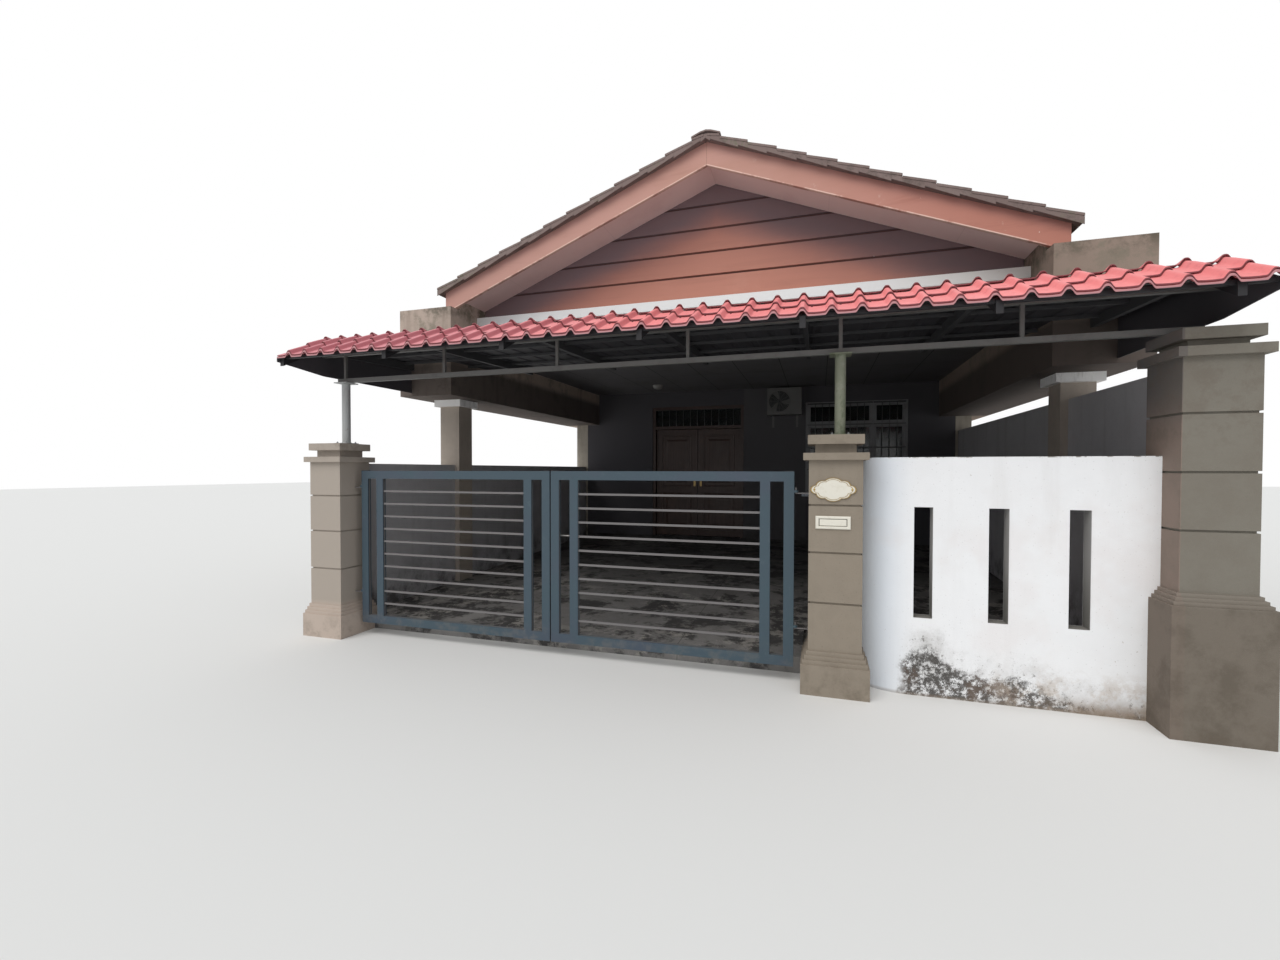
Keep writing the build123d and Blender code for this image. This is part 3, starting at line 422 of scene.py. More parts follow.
crown = z.mask(FENCE_HEIGHT - 0.01, FENCE_HEIGHT - 0.001) * fence_only
white.clouds((14, 6, 0.7), (0.5, 0.62), (130, 124, 116), crown)
chips = white.noise(26, 7, 0.72).mask(0.675, 0.69) * white.noise(2, 3).mask(0.5, 0.6)
white.coat(chips, (168, 156, 142))
white.bump(chips, 0.0012, -0.8)

pillar = masonry("pillar_render", (144, 134, 121), (116, 105, 93), 0.06, 0.35, 0.0018)
x, z = pillar.x, pillar.z
left_side = x.mask(0, -2.5, 0.9)
pillar.coat(left_side, (174, 164, 154))
pillar.coat(left_side * z.mask(0.36, 0.28, 0.8), (196, 180, 168))
right_side = x.mask(2.2, 3)
pillar.coat(right_side * 0.9, (126, 122, 113))
inner_face = x.mask(HALF - 0.18, HALF - 0.186) * right_side
pillar.coat(inner_face * 0.7, (146, 126, 116))
# Painted shadow of the awning on the top of the big pillar's inner face.
pillar.coat(inner_face * z.mask(1.75, 2.15, 0.8), (98, 98, 98))
pillar.clouds((2.4, 8, 0.7), (0.45, 0.66, 0.35), (116, 108, 98), right_side)
low_right = right_side * z.mask(0.86, 0.76)
pillar.coat(low_right * 0.8, (116, 107, 97))
pillar.clouds((2.6, 7, 0.7), (0.44, 0.62, 0.55), (90, 82, 72), low_right)
mould_band = right_side * z.between(0.8, 0.86, 0.015)
pillar.coat(mould_band * 0.5, (140, 131, 121))
pillar.clouds((4.5, 8, 0.74), (0.46, 0.66, 0.4), (96, 86, 74), z.mask(0.34, 0))
pillar.clouds((9, 7, 0.7), (0.46, 0.62, 0.35), (112, 102, 92), z.mask(1.6, 1.86))

# Roof and gable

gable = Paint("gable_stain", (204, 141, 123), 0.6)
gable.coat(gable.cells((9, 1, BOARD_PITCH), (-4.5, 0, BOARD_START)) * 0.25, (190, 134, 120))
grain = gable.noise(1.6, 6, 0.6, (0.35, 3, 5), 0.4)
gable.coat(grain.mask(0.44, 0.72, 0.4), (176, 120, 106))
gable.clouds((1.7, 6, 0.66), (0.5, 0.74, 0.4), (212, 156, 138))
shade_line = gable.z + abs(gable.x) * ROOF_SLOPE + gable.noise(1.3, 5, 0.6, (1, 1, 3)) * 0.22
gable.coat(shade_line.mask(ROOF_APEX - 0.91, ROOF_APEX - 0.31, 0.6), (184, 132, 122))
deep_shade = shade_line.mask(ROOF_APEX - 0.63, ROOF_APEX - 0.19, 0.76)
gable.coat(deep_shade, (110, 109, 119))
gable.coat(deep_shade * gable.x.mask(-0.4, 1.6, 0.5), (118, 98, 98))
# A dark line at each board's lap: the gap's own dark and a painted shadow under the board above.
lap_gap_and_shadow = gable.z.lines(BOARD_PITCH, 0.013, BOARD_START - 0.01)
gable.coat(lap_gap_and_shadow * 0.85, (78, 50, 46))
gable.coat(gable.specks(3.1).mask(0.022, 0.01), (226, 212, 206))
gable.bump(grain, 0.0008, 0.6)

tile = Paint("roof_tile", (138, 122, 118), 0.88, 0.25)
each = tile.cells((TILE_RUN, TILE_WIDTH, 9), (-ROOF_HALF, VERGE_FRONT_Y, 0))
tile.coat(each * 0.5, (116, 98, 94))
tile.clouds((0.7, 6, 0.65), (0.45, 0.7, 0.5), (148, 134, 128))
tile.clouds((5, 9, 0.78), (0.52, 0.66, 0.55), (88, 80, 74))
tile.clouds((22, 7, 0.75), (0.5, 0.6, 0.6), (116, 116, 96), tile.noise(1.4, 5).mask(0.5, 0.62))
tile.bump(tile.noise(70, 6, 0.7), 0.0012)

barge = Paint("barge_paint", (202, 154, 142), 0.6, 0.35)
barge.clouds((0.9, 6, 0.62, (0.4, 1, 1.6)), (0.4, 0.7, 0.6), (186, 138, 120))
wood = barge.noise(1.4, 7, 0.66, (0.8, 1, 5), 0.4)
barge.coat(wood.mask(0.52, 0.76, 0.35), (172, 124, 112))
right_half = barge.x.mask(0.2, 2.8, 0.9)
barge.coat(right_half, (190, 125, 108))
barge.coat(right_half * wood.mask(0.48, 0.7, 0.5), (168, 108, 94))
barge.clouds((7, 8, 0.75), (0.64, 0.7, 0.4), (216, 186, 172))
barge.coat(abs(barge.x).mask(0.003, 0.0012, 0.5), (120, 84, 74))
down = barge.z + abs(barge.x) * ROOF_SLOPE
# Painted shadow under the tiles along the barge's top edge.
barge.coat(down.mask(ROOF_APEX - 0.12, ROOF_APEX - 0.01, 0.4), (146, 106, 106))
worn_edge = down.mask(ROOF_APEX - BARGE_DEPTH + 0.014, ROOF_APEX - BARGE_DEPTH + 0.006)
barge.clouds((3, 6, 0.7), (0.42, 0.54), (240, 204, 190), worn_edge)
barge.coat(barge.specks(5).mask(0.028, 0.012), (236, 220, 210))
barge.bump(wood, 0.0008, 0.6)

soffit = Paint("soffit_paint", (255, 226, 221), 0.7)
soffit.clouds((2, 6, 0.66), (0.48, 0.72, 0.3), (232, 192, 190))
soffit.coat(soffit.x.lines(1.2, 0.004) * 0.12, (140, 116, 112))
soffit.bump(soffit.noise(60, 4), 0.0006)

# The ceiling's grey is painted shade: it stands for off-white ceilings in the shade of the roof.
ceiling = Paint("ceiling_paint", (120, 118, 120), 0.85)
panels = ceiling.x.lines(0.61, 0.006) | ceiling.y.lines(1.22, 0.006)
ceiling.clouds((1.7, 7, 0.66), (0.46, 0.7, 0.5), (104, 100, 96))
ceiling.coat(panels, (66, 64, 64))
ceiling.bump(panels, 0.004, -1)

# Joinery and glass

timber = Paint("door_timber", (72, 52, 45), 0.45, 0.5)
fibre = timber.noise(4, 8, 0.66, (12, 12, 0.8), 0.7)
timber.coat(fibre.mask(0.38, 0.66, 0.8), (60, 40, 34))
timber.clouds((2, 6, 0.7), (0.5, 0.74, 0.4), (104, 76, 60))
proud = (timber.y.mask(LEAF_FRONT_Y - 0.0004, LEAF_FRONT_Y - 0.0008)
         | timber.y.mask(LEAF_BACK_Y + 0.0004, LEAF_BACK_Y + 0.0008))
at_handle = abs(timber.z - HANDLE_LEVEL).mask(0.14, 0.13)
near_middle = abs(timber.x - DOOR_MIDDLE).mask(0.24, 0.22)
handles = proud * at_handle * near_middle
timber.coat(handles, (164, 140, 96))
timber.metal(handles * 0.8)
timber.gloss(timber.noise(9, 5), 0.55, 0.3)
timber.bump(fibre, 0.0008)

glass = Paint("clear_glass", (120, 128, 130), 0.06, 0.5)
glass.shader["Transmission Weight"].default_value = 0.9
glass.shader["IOR"].default_value = 1.45
glass.clouds((3, 7, 0.7), (0.5, 0.8, 0.5), (92, 96, 96))
glass.gloss(glass.noise(5, 6, 0.7), 0.02, 0.16)

# Steel and sheet metal

gate = Paint("gate_paint", (60, 78, 89), 0.42, 0.5)
gate.clouds((1.5, 5, 0.6), (0.42, 0.7, 0.55), (70, 74, 91))
gate.clouds((2.3, 5, 0.6), (0.52, 0.7, 0.4), (54, 82, 88))
gate.clouds((14, 7, 0.72), (0.58, 0.72, 0.25), (96, 112, 120))
slim_bars = abs(gate.y - GATE_Y).mask(0.0085, 0.0075, 0.75)
gate.coat(slim_bars, (126, 120, 118))
gate.clouds((34, 8, 0.8), (0.65, 0.69), RUST, gate.z.mask(0.9, 0.1, 0.8))
gate.clouds((8, 7, 0.7), (0.46, 0.64, 0.35), (116, 112, 106), gate.z.mask(0.34, 0.1))
ironmongery = gate.y.mask(GATE_Y + GATE_THICKNESS / 2 + 0.0004, GATE_Y + GATE_THICKNESS / 2 + 0.0012)
gate.coat(ironmongery, (150, 150, 148))
gate.clouds((26, 8, 0.78), (0.54, 0.66), RUST, ironmongery)
gate.metal(ironmongery * 0.7)
gate.gloss(gate.noise(6, 5), 0.6, 0.36)
gate.bump(gate.noise(120, 3), 0.0004)

post = Paint("post_steel", (168, 170, 170), 0.5, 0.5, 0.1)
old = post.x.mask(0, 0.5)
post.coat(old, (126, 130, 112))
post.clouds((9, 8, 0.75, (1, 1, 0.5)), (0.5, 0.6), (96, 104, 82), old)
post.clouds((22, 8, 0.78), (0.61, 0.67, 0.7), RUST)
post.clouds((5, 6, 0.7), (0.5, 0.75, 0.4), (176, 176, 168))
post.bump(post.noise(60, 6, 0.7), 0.0012)

steel = Paint("frame_steel", (104, 104, 102), 0.55, 0.45, 0.1)
steel.clouds((4, 7, 0.72), (0.48, 0.68, 0.5), (84, 82, 80))
steel.clouds((15, 8, 0.78), (0.6, 0.7, 0.5), (96, 74, 60))
# Painted shade: the frame in front of the truss and under the awning away from the truss is darker, darkest
# on the rafters' front ends.
steel.coat(steel.y.mask(GATE_Y - 0.2, GATE_Y - 0.26, 0.9), (46, 44, 46))
steel.bump(steel.noise(90, 5, 0.7), 0.0008)
off_truss = abs(steel.y - GATE_Y).mask(0.04, 0.07)
steel.coat(off_truss * steel.z.mask(CHORD_BOTTOM + 0.02, CHORD_BOTTOM + 0.06, 0.75), (52, 52, 57))
rafter_end_shade = steel.y.mask(GATE_Y - 0.15, GATE_Y - 0.2) * steel.z.mask(CHORD_BOTTOM, CHORD_BOTTOM + 0.02)
steel.coat(rafter_end_shade * 0.9, (34, 33, 36))

metal = Paint("awning_metal", (246, 143, 143), 0.5, 0.45)
each = metal.cells((MODULE_WIDTH, COURSE_RUN, 9), (AWNING_LEFT, EAVE_Y, 0))
metal.coat(each * 0.2, (210, 108, 112))
metal.clouds((1.3, 6, 0.62), (0.42, 0.7, 0.5), (240, 158, 160))
metal.coat(metal.x.mask(-0.2, -2.4, 0.8), (206, 134, 144))
metal.coat(metal.x.mask(2.2, 3.4, 0.6), (232, 124, 124))
metal.clouds((14, 8, 0.76), (0.5, 0.68, 0.42), (196, 104, 110))
metal.clouds((30, 8, 0.8), (0.68, 0.73, 0.6), (124, 70, 68))
skirt_line = (metal.y - EAVE_Y) * AWNING_SLOPE + EAVE_LEVEL
deck_line = (metal.y - SKIRT_TOP_Y) * DECK_SLOPE + SKIRT_TOP_LEVEL
over = metal.z - skirt_line.math("MINIMUM", deck_line)
# Painted shade on each crown's right flank, deeper on the left half of the awning.
right_flank_shade = metal.x.lines(MODULE_WIDTH, 0.02, AWNING_LEFT + 0.87 * MODULE_WIDTH)
metal.coat(right_flank_shade * 0.4, (168, 82, 88))
metal.coat(right_flank_shade * metal.x.mask(0.6, -1.2, 0.6), (150, 66, 78))
# Painted shadow lines under the nose of each course, the eave's included.
metal.coat(metal.y.lines(COURSE_RUN, 0.005, EAVE_Y + 0.003), (122, 54, 60))
# Painted highlight on the eave's pale lip.
metal.coat(metal.y.mask(EAVE_Y + 0.0034, EAVE_Y + 0.0026, 0.6), (214, 158, 162))
metal.coat(over.mask(0.0035, 0.0015), (70, 68, 72))
metal.gloss(metal.noise(5, 6, 0.7), 0.6, 0.42)
metal.bump(metal.noise(200, 3), 0.0005)

# Fittings

unit = Paint("appliance_white", (150, 148, 144), 0.45, 0.5)
unit.clouds((5, 7, 0.7), (0.46, 0.7, 0.5), (132, 128, 120))
unit.clouds((3, 6, 0.65, (8, 8, 1)), (0.56, 0.74, 0.5), (106, 100, 92))
unit.coat(unit.x.mask(AC_LEFT - 0.1, AC_LEFT - 0.05, 0.7), (96, 95, 94))
unit.bump(unit.noise(160, 2), 0.0003)

zinc = Paint("galvanised", (150, 152, 152), 0.4, 0.5, 0.8)
zinc.coat(zinc.specks(70).mask(0.1, 0.6, 0.5), (118, 120, 122))
zinc.clouds((20, 8, 0.78), (0.6, 0.7, 0.6), RUST)
zinc.bump(zinc.noise(110, 4), 0.0004)

# Plain finishes: colour, surface, coats of clouds, relief and gloss
for name, colour, surface, coats, relief, gloss in (
    ("window_frame", (140, 140, 142), (0.42, 0.5), (((7, 6, 0.7), (0.48, 0.7, 0.5), (112, 110, 108)),),
     ((220, 2), 0.0003), ((40, 4), 0.55, 0.32)),
    ("screw_washer", (104, 52, 54), (0.5, 0.4, 0.2), (((60, 5, 0.7), (0.5, 0.7, 0.5), (78, 52, 46)),),
     ((200, 3), 0.0003), None),
    ("deck_metal", (74, 73, 77), (0.6, 0.4, 0.2), (
        ((1.2, 8, 0.7), (0.42, 0.66, 0.6), (58, 57, 60)),
        ((6, 8, 0.75, (3, 0.5, 1)), (0.58, 0.72, 0.4), (76, 60, 54))), ((30, 5), 0.0006), None),
    ("dark_plastic", (40, 41, 44), (0.5, 0.5), (((12, 6, 0.7), (0.5, 0.7, 0.6), (72, 70, 68)),),
     ((140, 3), 0.0004), None),
    ("old_brass", (176, 150, 98), (0.42, 0.5, 0.6), (((30, 7, 0.72), (0.46, 0.66, 0.6), (132, 110, 74)),),
     ((160, 4), 0.0005), ((50, 4), 0.5, 0.3)),
    ("plate_enamel", (228, 224, 212), (0.3, 0.5), (
        ((18, 7, 0.72), (0.5, 0.7, 0.4), (204, 198, 182)),
        ((50, 7, 0.8), (0.66, 0.71, 0.6), (158, 144, 120))), ((90, 4), 0.0006), None),
):
    paint = Paint(name, colour, *surface)
    for coat in coats:
        paint.clouds(*coat)
    paint.bump(paint.noise(*relief[0]), relief[1])
    if gloss:
        paint.gloss(paint.noise(*gloss[0]), *gloss[1:])

NODE_SLOTS = {
    "concrete_floor": "porch_slab house_slab",
    "party_render": "party_wall_left party_wall_right",
    "grey_render": "gutter_box_left gutter_box_right porch_beam",
    "column_paint": "porch_column_left porch_column_right",
    "wall_paint": "boundary_wall_left boundary_wall_right front_wall_left "
                  "front_wall_over_door front_wall_right rear_wall",
    "white_paint": "lower_ledge upper_ledge fence_panel fence_curve",
    "pillar_render": "gate_pillar_left gate_pillar_number party_pillar_right",
    "gable_stain": "gable_boards",
    "roof_tile": "roof_slope_left roof_slope_right ridge_tiles",
    "barge_paint": "barge_boards_front barge_boards_rear",
    "soffit_paint": "soffit_front soffit_rear",
    "ceiling_paint": "porch_ceiling house_ceiling",
    "door_timber": "front_door_left front_door_right front_door_frame rear_door",
    "window_frame": "front_window_frame rear_window",
    "clear_glass": "front_glass",
    "gate_paint": "gate_left gate_right gate_hinges",
    "post_steel": "awning_posts",
    "frame_steel": "awning_truss awning_rafters",
    "awning_metal": "awning_tiles awning_ends",
    "deck_metal": "awning_deck",
    "appliance_white": "ac_unit porch_lamp",
}

for slot_name, node_names in NODE_SLOTS.items():
    for node_name in node_names.split():
        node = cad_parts[node_name]
        if not node.material_slots:
            node.data.materials.append(None)
        for material_slot in node.material_slots:
            material_slot.material = PAINTS[slot_name].material


# Meshes

def turns(steps):
    """Angles that split a full turn."""
    return [2 * pi * step / steps for step in range(steps)]


def around(x, y, z, radius, turn):
    """A point on a circle that faces the street."""
    return x + radius * cos(turn), y, z + radius * sin(turn)


class Shape:
    """Points and faces that are gathered for one piece."""

    def __init__(self):
        self.points = []
        self.faces = []

    def add(self, points, faces):
        start = len(self.points)
        self.points.extend(tuple(point) for point in points)
        self.faces.extend(tuple(start + index for index in face) for face in faces)

    def box(self, x0, x1, y0, y1, z0, z1):
        """A block between two corners."""
        points = [(x, y, z) for z in (z0, z1) for y in (y0, y1) for x in (x0, x1)]
        self.add(points, ((0, 2, 3, 1), (4, 5, 7, 6), (0, 1, 5, 4), (2, 6, 7, 3), (0, 4, 6, 2), (1, 3, 7, 5)))

    def strip(self, rows, closed=False, ring=False):
        """Quads between rows of points, each as long as the others."""
        width = len(rows[0])
        faces = []
        for row in range(len(rows) - (0 if closed else 1)):
            here, after = row * width, (row + 1) % len(rows) * width
            for column in range(width - (0 if ring else 1)):
                beside = (column + 1) % width
                faces.append((here + column, here + beside, after + beside, after + column))
        self.add([point for row in rows for point in row], faces)

    def loft(self, rings, capped=True):
        """Quads between closed rings of points, with the first and last ring filled."""
        first = len(self.points)
        self.strip(rings, ring=True)
        if capped:
            last = len(self.points) - len(rings[0])
            self.faces.append(tuple(reversed(range(first, first + len(rings[0])))))
            self.faces.append(tuple(range(last, len(self.points))))

    def turned(self, x, y, z, profile, sides, axis="Z"):
        """A turned form: circles, as (radius, place along the axis)."""
        self.loft([[(x + radius * cos(turn), y + radius * sin(turn), z + along) if axis == "Z" else
                    around(x, y + along, z, radius, turn)
                    for turn in turns(sides)] for radius, along in profile])

    def rod(self, path, radius, sides=10):
        """A round bar along a path."""
        path = [Vector(point) for point in path]
        rings = []
        for index, point in enumerate(path):
            along = (path[min(index + 1, len(path) - 1)] - path[max(index - 1, 0)]).normalized()
            side = along.cross(Vector((0, 0, 1)))
            if side.length < 0.01:
                side = along.cross(Vector((0, 1, 0)))
            side.normalize()
            up = side.cross(along)
            rings.append([point + radius * (cos(turn) * side + sin(turn) * up)
                          for turn in turns(sides)])
        self.loft(rings)

    def wire_ring(self, x, y, z, radius, wire, steps):
        """A ring of five-sided wire that faces the street."""
        self.loft([[around(x, y + wire * sin(lean), z, radius + wire * cos(lean), turn) for lean in turns(5)]
                   for turn in (*turns(steps), 2 * pi)], capped=False)

    def frame(self, x0, x1, y0, y1, z0, z1, width):
        """Four square members round an upright rectangle."""
        self.box(x0, x1, y0, y1, z0, z0 + width)
        self.box(x0, x1, y0, y1, z1 - width, z1)
        self.box(x0, x0 + width, y0, y1, z0 + width, z1 - width)
        self.box(x1 - width, x1, y0, y1, z0 + width, z1 - width)

    def bars(self, x0, x1, parts, y, z0, z1):
        """Upright round bars that split a width into equal parts."""
        for number in range(1, parts):
            x = x0 + (x1 - x0) * number / parts
            self.rod([(x, y, z0), (x, y, z1)], BAR_RADIUS, 8)

    def rails(self, x0, x1, y, levels, height):
        """Flat rails across a row of bars."""
        for z in levels:
            self.box(x0, x1, y - 0.003, y + 0.003, z - height / 2, z + height / 2)


def place(name, data, material=None):
    """A new object in the scene, with its material."""
    made = bpy.data.objects.new(name, data)
    scene.collection.objects.link(made)
    if material:
        data.materials.append(material)
    return made


def rectangle(x0, x1, y, z0, z1):
    """A ring of four points that faces the street."""
    return [(x0, y, z0), (x1, y, z0), (x1, y, z1), (x0, y, z1)]


def piece(name, shape, paint, stands_for=None, body="house", bevel=0.0, smooth=False, sheet=0.0):
    """Makes one piece from a shape, with its finish and the body that it rides on."""
    mesh = bpy.data.meshes.new(name)
    mesh.from_pydata(shape.points, [], shape.faces)
    mesh.validate()
    made = place(name, mesh, PAINTS[paint].material)
    if smooth:
        mesh.shade_smooth()
    if sheet:
        thick = made.modifiers.new("sheet", "SOLIDIFY")
        thick.thickness = sheet
        thick.offset = -1.0
    if bevel:
        edges = made.modifiers.new("edges", "BEVEL")
        edges.width = bevel
        edges.segments = 2
        edges.limit_method = "ANGLE"
        edges.angle_limit = radians(35)
    if smooth:
        made.modifiers.new("corners", "EDGE_SPLIT").split_angle = radians(42)
    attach(made, body)
    if stands_for:
        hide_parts(stands_for)


def roof_line(x):
    """Height of the roof's underside at a distance x from the ridge."""
    return ROOF_APEX - ROOF_SLOPE * abs(x)


# Roof

def roof_tiles(side):
    """Courses of overlapping concrete tiles on one slope, from the eave to the ridge."""
    shape = Shape()
    width = len(TILE_PAN)
    for course in range(TILE_COURSES):
        butt = ROOF_HALF - course * TILE_RUN
        head = max(butt - TILE_RUN - TILE_LAP, RIDGE_GAP)
        for column in range(TILE_COLUMNS):
            y0 = VERGE_FRONT_Y + column * TILE_WIDTH + TILE_GAP
            edge = butt - chance.uniform(0.0, 0.005)
            drop = chance.uniform(0.0, 0.0025)
            tilt = chance.uniform(-0.0012, 0.0012)
            rows = []
            for reach, height in (
                (head, 0.032), (head, 0.05), (edge - 0.006, ROOF_THICKNESS - 0.0005),
                (edge, ROOF_THICKNESS - 0.006), (edge, ROOF_THICKNESS - TILE_BUTT),
            ):
                row = []
                for index, pan in enumerate(TILE_PAN):
                    share = index / (width - 1)
                    lift = height + pan * (0.6 if reach == head else 1.0) - drop + tilt * (share - 0.5)
                    row.append((side * reach, y0 + (TILE_WIDTH - 2 * TILE_GAP) * share,
                                roof_line(reach) + lift))
                rows.append(row if side > 0 else row[::-1])
            shape.strip(rows, closed=True)
            start = len(shape.points) - len(rows) * width
            for end in (0, width - 1):
                shape.faces.append(tuple(start + row * width + end for row in range(len(rows))))
    return shape


def verge_flanges(side):
    """The lip of each verge tile along the slope, and the down-turned flange that lags behind it."""
    shape = Shape()
    for face, outward in ((VERGE_FRONT_Y, -1), (VERGE_REAR_Y, 1)):
        for course in range(TILE_COURSES):
            butt = ROOF_HALF - course * TILE_RUN
            head = max(butt - TILE_RUN, RIDGE_GAP)
            sag = chance.uniform(0.0, 0.004)
            head_top = ROOF_THICKNESS - 0.001 - VERGE_LIP
            butt_top = ROOF_THICKNESS - 0.001 - sag
            lip = ((head, head_top), (butt - 0.001, butt_top), (butt - 0.001, butt_top - VERGE_LIP),
                   (head, head_top - VERGE_LIP))
            end = butt - 0.001 if course == 0 else butt - FLANGE_LAG
            begin = max(butt - TILE_RUN - FLANGE_LAG, 0.0)
            flange = ((begin, 0.05), (end, 0.05), (end, -VERGE_HANG - sag),
                      (begin, VERGE_NOTCH - VERGE_HANG))
            for outline, proud in ((lip, VERGE_FLANGE), (flange, VERGE_FLANGE - FLANGE_SETBACK)):
                rings = [[(side * x, y, roof_line(x) + lift) for x, lift in outline]
                         for y in sorted((face, face + outward * proud))]
                shape.loft(rings if side < 0 else rings[::-1])
    return shape


for hand, side in SIDES:
    slope_node = f"roof_slope_{hand}"
    piece(f"verge_flanges_{hand}", verge_flanges(side), "roof_tile", slope_node, bevel=0.002)
    piece(f"roof_tiles_{hand}", roof_tiles(side), "roof_tile", slope_node)
    underlay = Shape()
    outer = ROOF_HALF - 0.004
    section = ((0.0, 0.0), (outer, 0.0), (outer, 0.052), (0.0, 0.034))
    underlay.loft([[(side * x, y, roof_line(x) + lift) for x, lift in section]
                   for y in (VERGE_FRONT_Y + 0.006, VERGE_REAR_Y - 0.006)])
    piece(f"roof_underlay_{hand}", underlay, "roof_tile", slope_node)

ridge = Shape()
cap_count = round((VERGE_REAR_Y - VERGE_FRONT_Y) / CAP_LENGTH)
cap_pitch = (VERGE_REAR_Y - VERGE_FRONT_Y) / cap_count
for number in range(cap_count):
    front = VERGE_FRONT_Y + number * cap_pitch
    back = min(front + cap_pitch + 0.035, VERGE_REAR_Y)
    rows = []
    for y, sink in ((front, 0.0), (front + 0.012, -0.002), (front + 0.045, 0.004), (back, 0.012)):
        outer_row = []
        inner_row = []
        for step in range(-6, 7):
            x = RIDGE_ARM * step / 6
            bend = 0.012 * exp(-(step / 1.4) ** 2)
            crown = roof_line(x) + ROOF_THICKNESS + RIDGE_THICKNESS - bend - max(sink, 0.0) - 0.002
            outer_row.append((x, y, crown))
            inner_row.append((x, y, crown - CAP_THICKNESS))
        rows.append(outer_row + inner_row[::-1])
    ridge.loft(rows)
piece("ridge_caps", ridge, "roof_tile", "ridge_tiles", bevel=0.002)

# Gable boards, each with its foot proud of the one below

gable = Shape()
level = BEAM_TOP
top = BOARD_START
while level < roof_line(0) - 0.011:
    low, high = (min(BOX_INNER, (ROOF_APEX - z) / ROOF_SLOPE) for z in (level, top))
    front = GABLE_Y + chance.uniform(0.0, 0.0015)
    section = ((0.0, front + 0.03), (0.0, front + 0.003), (0.008, front), (0.925, front + 0.01),
               (0.928, front + 0.03))
    gable.loft([[(side * (low + (high - low) * share), y, level + (top - level) * share)
                 for share, y in section] for side in (-1, 1)])
    level = top
    top = min(level + BOARD_PITCH, roof_line(0) - 0.01)
piece("gable_shiplap", gable, "gable_stain", "gable_boards")
backing = Shape()
outline = ((-BOX_INNER, BEAM_TOP), (BOX_INNER, BEAM_TOP), (BOX_INNER, roof_line(BOX_INNER)),
           (0.0, roof_line(0)), (-BOX_INNER, roof_line(BOX_INNER)))
backing.loft([[(x, y, z) for x, z in outline] for y in (GABLE_Y + 0.022, BEAM_BACK_Y)])
piece("gable_backing", backing, "gable_stain", "gable_boards")

# Awning

def awning_underside(y):
    """Height of the awning's underside at a depth y."""
    if y <= SKIRT_TOP_Y:
        return EAVE_LEVEL + (y - EAVE_Y) * AWNING_SLOPE
    return SKIRT_TOP_LEVEL + (y - SKIRT_TOP_Y) * DECK_SLOPE


def sheet_rows(steps):
    """Rows of points across the whole sheet, as (depth, height over the underside)."""
    places = [(AWNING_LEFT + (number + share) * MODULE_WIDTH, lift)
              for number in range(SHEET_MODULES) for share, lift in MODULE] + [(AWNING_RIGHT, 0.0)]
    return [[(x, y, awning_underside(y) + height + CROWN_HEIGHT * lift) for x, lift in places]
            for y, height in steps]


sheet = Shape()
for course in range(COURSES + 1):
    start = EAVE_Y + course * COURSE_RUN + 0.004
    end = start + COURSE_RUN + 0.03 if course < COURSES else start + 0.11
    if course == COURSES - 1:
        end -= 0.024
    sheet.strip(sheet_rows((
        (start, NOSE - 0.0085), (start - 0.0005, NOSE - 0.004), (start + 0.002, NOSE - 0.0005),
        (start + 0.007, NOSE), (start + (end - start) * 0.3, NOSE - COURSE_STEP * 0.3),
        (start + (end - start) * 0.62, NOSE - COURSE_STEP * 0.66),
        (end, SHEET_THICKNESS + (0.0 if course < COURSES else 0.004)),
    )))
piece("awning_tile_sheet", sheet, "awning_metal", "awning_tiles", smooth=True, sheet=0.002)

lip = Shape()
lip.strip(sheet_rows([(EAVE_Y + depth, SHEET_THICKNESS + height) for depth, height in (
    (0.001, -0.009), (0.0006, 0.001), (0.003, 0.0045), (0.05, 0.002))]))
piece("awning_eave_lip", lip, "awning_metal", "awning_tiles", smooth=True, sheet=0.0012)

screws = Shape()
for course in range(1, COURSES + 1):
    y = EAVE_Y + course * COURSE_RUN - 0.016
    z = awning_underside(y) + SHEET_THICKNESS + 0.002
    for number in range(SHEET_MODULES):
        x = AWNING_LEFT + (number + 0.05) * MODULE_WIDTH
        screws.loft([[(x + radius * cos(turn), y + radius * sin(turn) - lift * AWNING_SLOPE * 0.6,
                       z + radius * sin(turn) * AWNING_SLOPE + lift) for turn in turns(6)]
                     for radius, lift in SCREW_PROFILE])
piece("awning_screws", screws, "screw_washer")

deck = Shape()
deck_start = SKIRT_TOP_Y + 0.004
for x0, x1, deck_end in ((AWNING_LEFT, -BOX_INNER, BOX_FRONT_Y), (-BOX_INNER, BOX_INNER, BEAM_BACK_Y),
                         (BOX_INNER, AWNING_RIGHT, BOX_FRONT_Y)):
    line = [(x0, 0.0)]
    for number in range(floor(x0 / RIB_PITCH), ceil(x1 / RIB_PITCH)):
        line += [((number + share) * RIB_PITCH, lift) for share, lift in RIB
                 if x0 < (number + share) * RIB_PITCH < x1]
    line.append((x1, 0.0))
    deck.strip([[(x, y, awning_underside(y) + 0.003 + RIB_HEIGHT * lift) for x, lift in line]
                for y in (deck_start, (deck_start + deck_end) / 2, deck_end)])
piece("awning_ribbed_deck", deck, "deck_metal", "awning_deck", sheet=0.002)

battens = Shape()
for y in (EAVE_Y + 0.06, EAVE_Y + 0.22, *(SKIRT_TOP_Y + depth for depth in (0.3, 0.75, 1.2, 1.7))):
    top = awning_underside(y)
    outside = y < BOX_FRONT_Y - 0.05
    battens.box(AWNING_LEFT + END_PLATE if outside else -BOX_INNER,
                AWNING_RIGHT - END_PLATE if outside else BOX_INNER,
                y - 0.015, y + 0.015, top - 0.03, top - 0.001)
piece("awning_battens", battens, "frame_steel", bevel=0.003)

# Post feet

